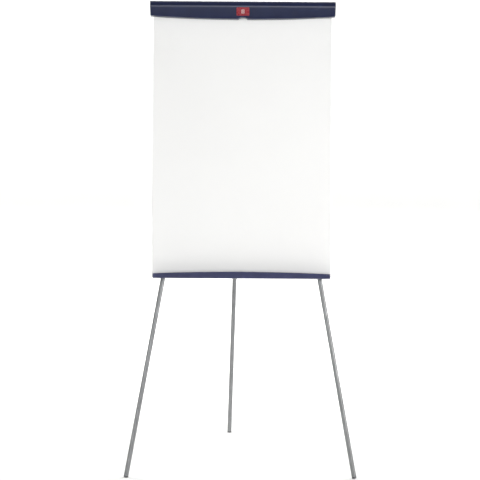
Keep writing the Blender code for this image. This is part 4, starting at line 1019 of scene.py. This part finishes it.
yoke = {"cheek": 2.0, "web": 4.0, "bend": 2.5}
cheek, web = yoke["cheek"] * mm, yoke["web"] * mm
outerY, innerY = yokeHigh.y, yokeHigh.y - cheek
knuckle = circle((0, 0), yokeHigh.z, 30, radians(-50), radians(230))
yokeFlat = fillet(
    [knuckle[-1], (-outerY, shoulderZ), (-outerY, yokeLow.z), (-innerY, yokeLow.z), (-innerY, shoulderZ - web),
     (innerY, shoulderZ - web), (innerY, yokeLow.z), (outerY, yokeLow.z), (outerY, shoulderZ), knuckle[0]],
    [0, yoke["bend"] * mm, 0.5 * mm, 0.5 * mm, 1 * mm, 1 * mm, 0.5 * mm, 0.5 * mm, yoke["bend"] * mm, 0],
    closed=False)
yokeHole = plateShape(circle((0, swayPoint.z), rivetHole, 32), -0.05, 0.05, axis=1)
pinHole = circle((0, 0), rivetHole, 32)
addPiece("rearYoke", plateShape(knuckle[1:-1] + yokeFlat, yokeLow.x, yokeHigh.x, [pinHole]), yokeFrame,
         "rear_yoke",
         zincSheet, ["rear_yoke"], cut=[yokeHole], sharpest=32)

guide = {"sheet": 2.0, "bend": 3.0}
guideLow, guideHigh = span("guide_rail", boardFrame)
guideSide = span("guide_rail", boardFrame, lambda p: p.y > guideHigh.y - 0.0005)[1].x
sheet = guide["sheet"] * mm
right = [(guideSide - sheet, guideHigh.y - sheet), (guideSide - sheet, guideLow.y), (guideHigh.x, guideLow.y),
         (guideHigh.x, guideLow.y + sheet), (guideSide, guideLow.y + sheet), (guideSide, guideHigh.y)]
radii = [guide["bend"] * mm / 2, 0, 0.4 * mm, 0.4 * mm, 1 * mm, guide["bend"] * mm]
guideOutline = fillet(right + [(-x, y) for x, y in reversed(right)], radii + radii[::-1])
guideHoles = [screwHole(f"guide_rail_screw_{side}", guideLow.y - 0.01, guideLow.y + 0.006) for side in sides]
addPiece("guideRail", plateShape(guideOutline, guideLow.z, guideHigh.z, axis=2), boardFrame, "board", zincSheet,
         ["guide_rail"], cut=guideHoles, sharpest=32)


print("legs")
leg = {"outerWall": 1.0, "innerWall": 1.2, "collarBore": 0.3, "collarSocket": 32.0, "lip": 0.8, "groove": 0.35,
       "bossRadius": 7.5, "bossRound": 1.0, "screwHole": 3.3, "grooves": 5, "groovePitch": 3.2,
       "headRound": 13.6, "footEdge": 1.2}
knob = {"lobes": 6, "flute": 2.0, "crown": 1.6, "well": 0.5, "wellDepth": 1.0}


def tubeProfile(radius, wall, low, high):
    edge = 0.25 * mm
    return fillet([(radius, high), (radius, low), (radius - wall, low), (radius - wall, high)], edge, steps=3)


def headRings(low, high, socketRadius, socketTop):
    # a moulded block: arched on top, boxy round the rivet, drawn in to a round collar with the tube's socket
    # in it
    halfX, halfY = high.x, high.y
    rings = []
    levels = 30
    arch = high.z - halfX
    for i in range(levels + 1):
        t = i / levels
        z = high.z - 0.0001 + (low.z - high.z + 0.0001) * t ** 1.6
        if z > arch:
            x = max(halfX * sqrt(max(1 - ((z - arch) / halfX) ** 2, 0.0)), 0.0012)
        else:
            x = halfX
        blend = min(1.0, max(0.0, (-0.010 - z) / 0.014))
        blend = blend * blend * (3 - 2 * blend)
        edge = max(0.0, 1 - (high.z - z) / 0.003)
        y = halfY - 0.0018 * edge * edge
        collar = leg["headRound"] * mm
        rx, ry = x * (1 - blend) + collar * blend, y * (1 - blend) + collar * blend
        power = 2 / (6.5 * (1 - blend) + 2.0 * blend)
        ring = []
        for k in range(64):
            a = 2 * pi * k / 64
            c, s = cos(a), sin(a)
            ring.append((rx * abs(c) ** power * (1 if c >= 0 else -1),
                         ry * abs(s) ** power * (1 if s >= 0 else -1), z))
        rings.append(ring)
    for radius, z in ((socketRadius + 0.4 * mm, low.z), (socketRadius, low.z + 0.4 * mm),
                      (socketRadius, socketTop)):
        rings.append([(x, y, z) for x, y in circle((0, 0), radius, 64)])
    return rings


for name in legs:
    where = legFrames[name]
    body, lower = f"{name}_leg", f"{name}_leg_lower"
    # head
    low, high = span(f"{name}_leg_head", where)
    bore = turnedShape([(0, 0.03), (rivetHole, 0.03), (rivetHole, -0.03), (0, -0.03)], 40)
    bmesh.ops.transform(bore, matrix=Matrix.Rotation(pi / 2, 4, "X"), verts=bore.verts)
    tube = span(f"{name}_leg_outer_tube", where)[1]
    fit = leg["collarBore"] * mm
    addPiece(f"legHead.{name}", loftShape(headRings(low, high, tube.x + fit, tube.z + fit)), where, body,
             blackNylon,
             [f"{name}_leg_head"], cut=[bore], sharpest=45)
    # tubes
    for kind, part, wall, coat, rider in (("outer", "outer_tube", "outerWall", outerCoat, body),
                                          ("sliding", "inner_tube", "innerWall", innerCoat, lower)):
        low, high = span(f"{name}_leg_{part}", where)
        profile = tubeProfile(high.x, leg[wall] * mm, low.z, high.z)
        addPiece(f"{kind}Tube.{name}", turnedShape(profile, 64, closed=True), where, rider, coat,
                 [f"{name}_leg_{part}"], sharpest=40)
    # collar: a lipped sleeve with grip grooves and the boss of the thumb screw
    low, high = span(f"{name}_leg_collar", where)
    radius, top, bottom = high.x, high.z, low.z
    tubeRadius = span(f"{name}_leg_outer_tube", where)[1].x
    slideRadius = span(f"{name}_leg_inner_tube", where)[1].x
    screwZ = inFrame(where, joints[f"{name}_leg_knob_turn"]["pos_m"]).z
    lip, groove = leg["lip"] * mm, leg["groove"] * mm
    clear = leg["collarBore"] * mm
    socketZ = top - leg["collarSocket"] * mm
    outer = [(radius - lip, top), (radius, top - 0.6 * mm), (radius, top - 4.0 * mm),
             (radius - lip, top - 5.0 * mm)]
    for i in range(leg["grooves"]):
        z = top - 9.0 * mm - leg["groovePitch"] * mm * i
        outer += [(radius - lip, z), (radius - lip - groove, z - 0.5 * mm),
                  (radius - lip - groove, z - 1.1 * mm),
                  (radius - lip, z - 1.6 * mm)]
    outer += [(radius - lip, screwZ + 11 * mm), (radius, screwZ + 9.6 * mm), (radius, bottom + 1.5 * mm),
              (radius - 1.5 * mm, bottom), (slideRadius + clear + 0.6 * mm, bottom),
              (slideRadius + clear, bottom + 0.6 * mm), (slideRadius + clear, socketZ),
              (tubeRadius + clear, socketZ), (tubeRadius + clear, top - 0.5 * mm),
              (tubeRadius + clear + 0.5 * mm, top)]
    collarShape = turnedShape(fillet(outer, 0.2 * mm, steps=2), 72, closed=True)
    reach = high.y
    bossR, bossE = leg["bossRadius"] * mm, leg["bossRound"] * mm
    bossProfile = [(0, reach), (bossR - bossE, reach), (bossR, reach - bossE),
                   (bossR + 0.8 * mm, slideRadius + 3 * mm), (bossR + 0.8 * mm, slideRadius + 1.5 * mm),
                   (0, slideRadius + 1.5 * mm)]
    boss = turnedShape(fillet(bossProfile, 0.5 * mm, closed=False, steps=4), 56)
    tapping = turnedShape([(0, 0.04), (leg["screwHole"] * mm, 0.04), (leg["screwHole"] * mm, 0.001),
                           (0, 0.001)], 40)
    # the boss and its hole look back from the tube's axis, each spun a little so that no two edges coincide
    for tool, spin in ((boss, 1.7), (tapping, 3.3)):
        look = Matrix.Rotation(-pi / 2, 4, "X") @ Matrix.Rotation(radians(spin), 4, "Z")
        bmesh.ops.transform(tool, matrix=Matrix.Translation((0, 0, screwZ)) @ look, verts=tool.verts)
    addPiece(f"legCollar.{name}", collarShape, where, body, blackNylon, [f"{name}_leg_collar"], join=[boss],
             cut=[tapping], sharpest=40)
    # thumb screw: a fluted grip moulded on a zinc-plated screw
    low, high = span(f"{name}_leg_knob", where)
    radius = (high.x - low.x) / 2
    seat = reach + bar["gap"] * mm
    place = turnedTo(where, (0, seat, screwZ), "back")
    addPiece(f"legKnob.{name}", lobedShape(gripRings(radius, high.y - seat, knob), knob["lobes"]), place,
             f"{name}_leg_knob", blackNylon, [f"{name}_leg_knob"], sharpest=42)
    end = low.y - seat
    thread = [(0, 0.4 * mm)]
    z = 0.4 * mm
    while z > end + 1.2 * mm:
        thread += [(3.0 * mm, z), (3.0 * mm, z - 0.25 * mm), (2.6 * mm, z - 0.5 * mm),
                   (2.6 * mm, z - 0.75 * mm)]
        z -= 1.0 * mm
    thread += [(2.4 * mm, end + 0.6 * mm), (1.8 * mm, end), (0, end)]
    addPiece(f"thumbScrew.{name}", turnedShape(thread, 32), place, f"{name}_leg_knob", brightZinc,
             [f"{name}_leg_knob"])
    # bush: hidden in the outer tube, kept as it is
    node = frame["nodes"][f"{name}_leg_bush"]
    node.data.materials.clear()
    node.data.materials.append(blackNylon)
    # foot
    low, high = span(f"{name}_leg_foot", where)
    radius, edge = high.x, leg["footEdge"] * mm
    capTop = span(f"{name}_leg_inner_tube", where)[0].z - bar["gap"] * mm
    spigot = radius - leg["innerWall"] * mm - bar["gap"] * mm
    foot = [(0, high.z), (spigot - 1 * mm, high.z), (spigot, high.z - 1 * mm), (spigot, capTop),
            (radius - 0.2 * mm, capTop), (radius, capTop - 0.3 * mm), (radius, capTop - 1.6 * mm),
            (radius - 0.45 * mm, capTop - 1.9 * mm),
            (radius - 0.45 * mm, capTop - 2.3 * mm), (radius, capTop - 2.6 * mm), (radius, low.z + edge),
            (radius - edge, low.z), (0, low.z)]
    addPiece(f"legFoot.{name}", turnedShape(fillet(foot, 0.25 * mm, closed=False, steps=3), 56), where, lower,
             footRubber, [f"{name}_leg_foot"])


print("studio")
studio = {
    "paper": "#F5F5F4", "radius": 15.0, "curve": 4.0, "height": 8.0, "world": "#FFFFFF", "worldStrength": 0.22,
    # name: place, aim, size in metres, watts, spread (a small one is a honeycomb grid)
    "lights": {
        "keyRight": ((4.6, -4.2, 1.9), (0, 0, 1.1), (1.6, 2.6), 44, 75),
        "fillLeft": ((-3.0, -5.4, 1.5), (0, 0, 1.1), (1.6, 2.6), 20, 75),
        "bandFront": ((0.5, -3.6, 4.85), (0, 0, 1.75), (3.4, 1.8), 112, 180),
        "floorLeft": ((-3.0, 2.0, 4.2), (-0.8, 1.4, 0), (2.4, 2.4), 78, 110),
        "floorRight": ((3.0, 2.0, 4.2), (0.8, 1.4, 0), (2.4, 2.4), 78, 110),
        "paperLeft": ((-4.0, 2.5, 4.4), (-1.5, 12, 1.5), (3.0, 2.0), 700, 180),
        "paperRight": ((4.0, 2.5, 4.4), (1.5, 12, 1.5), (3.0, 2.0), 700, 180),
    },
}


def plainBackdrop():
    # a paper bowl: flat underfoot, curving up far away on every side
    radius, height = studio["radius"], studio["height"]
    line = [(radius, height), (radius, 0.0), (0.0, 0.0)]
    line = fillet(line, studio["curve"], closed=False, steps=20)
    bowl = bpy.data.objects.new("paperBowl", toMesh("paperBowl", turnedShape(line, 96), 0))
    bpy.context.scene.collection.objects.link(bowl)
    paper = bpy.data.materials.new("seamlessPaper")
    paper.use_nodes = True
    shader = paper.node_tree.nodes["Principled BSDF"]
    shader.inputs["Base Color"].default_value = linearColour(studio["paper"])
    shader.inputs["Roughness"].default_value = 0.9
    shader.inputs["Specular IOR Level"].default_value = 0.2
    bowl.data.materials.append(paper)


def aimed(source, place, target):
    source.location = place
    source.rotation_mode = "QUATERNION"
    source.rotation_quaternion = (Vector(target) - Vector(place)).to_track_quat("-Z", "Y")
    bpy.context.scene.collection.objects.link(source)


plainBackdrop()
for name, (place, target, size, watts, spread) in studio["lights"].items():
    lamp = bpy.data.lights.new(name, "AREA")
    lamp.shape = "RECTANGLE"
    lamp.size, lamp.size_y = size
    lamp.energy = watts
    lit = bpy.data.objects.new(name, lamp)
    aimed(lit, place, target)
    lit.visible_camera = False
    lamp.spread = radians(spread)
    lit.visible_diffuse = name != "bandFront"  # only its reflection is wanted
world = bpy.data.worlds.new("studioWorld")
bpy.context.scene.world = world
world.use_nodes = True
background = world.node_tree.nodes["Background"]
background.inputs["Color"].default_value = linearColour(studio["world"])
background.inputs["Strength"].default_value = studio["worldStrength"]
bpy.context.scene.view_settings.view_transform = "Standard"

# camera: 6 m in front of the front feet at chest height, looking slightly down
view = {"away": 6.0, "height": 1.572, "pitch": 6.306, "roll": -0.372, "side": -0.027, "yaw": -0.158,
        "lens": 121.2}
camera = bpy.data.objects.new("camera", bpy.data.cameras.new("camera"))
bpy.context.scene.collection.objects.link(camera)
camera.data.sensor_width = 36
camera.data.lens = view["lens"]
footLow, footHigh = span("left_leg_foot", Matrix.Identity(4))
feetLine = (footLow.y + footHigh.y) / 2
camera.location = (view["side"], feetLine - view["away"], view["height"])
camera.rotation_euler = (radians(90 - view["pitch"]), radians(view["roll"]), radians(view["yaw"]))
bpy.context.scene.camera = camera
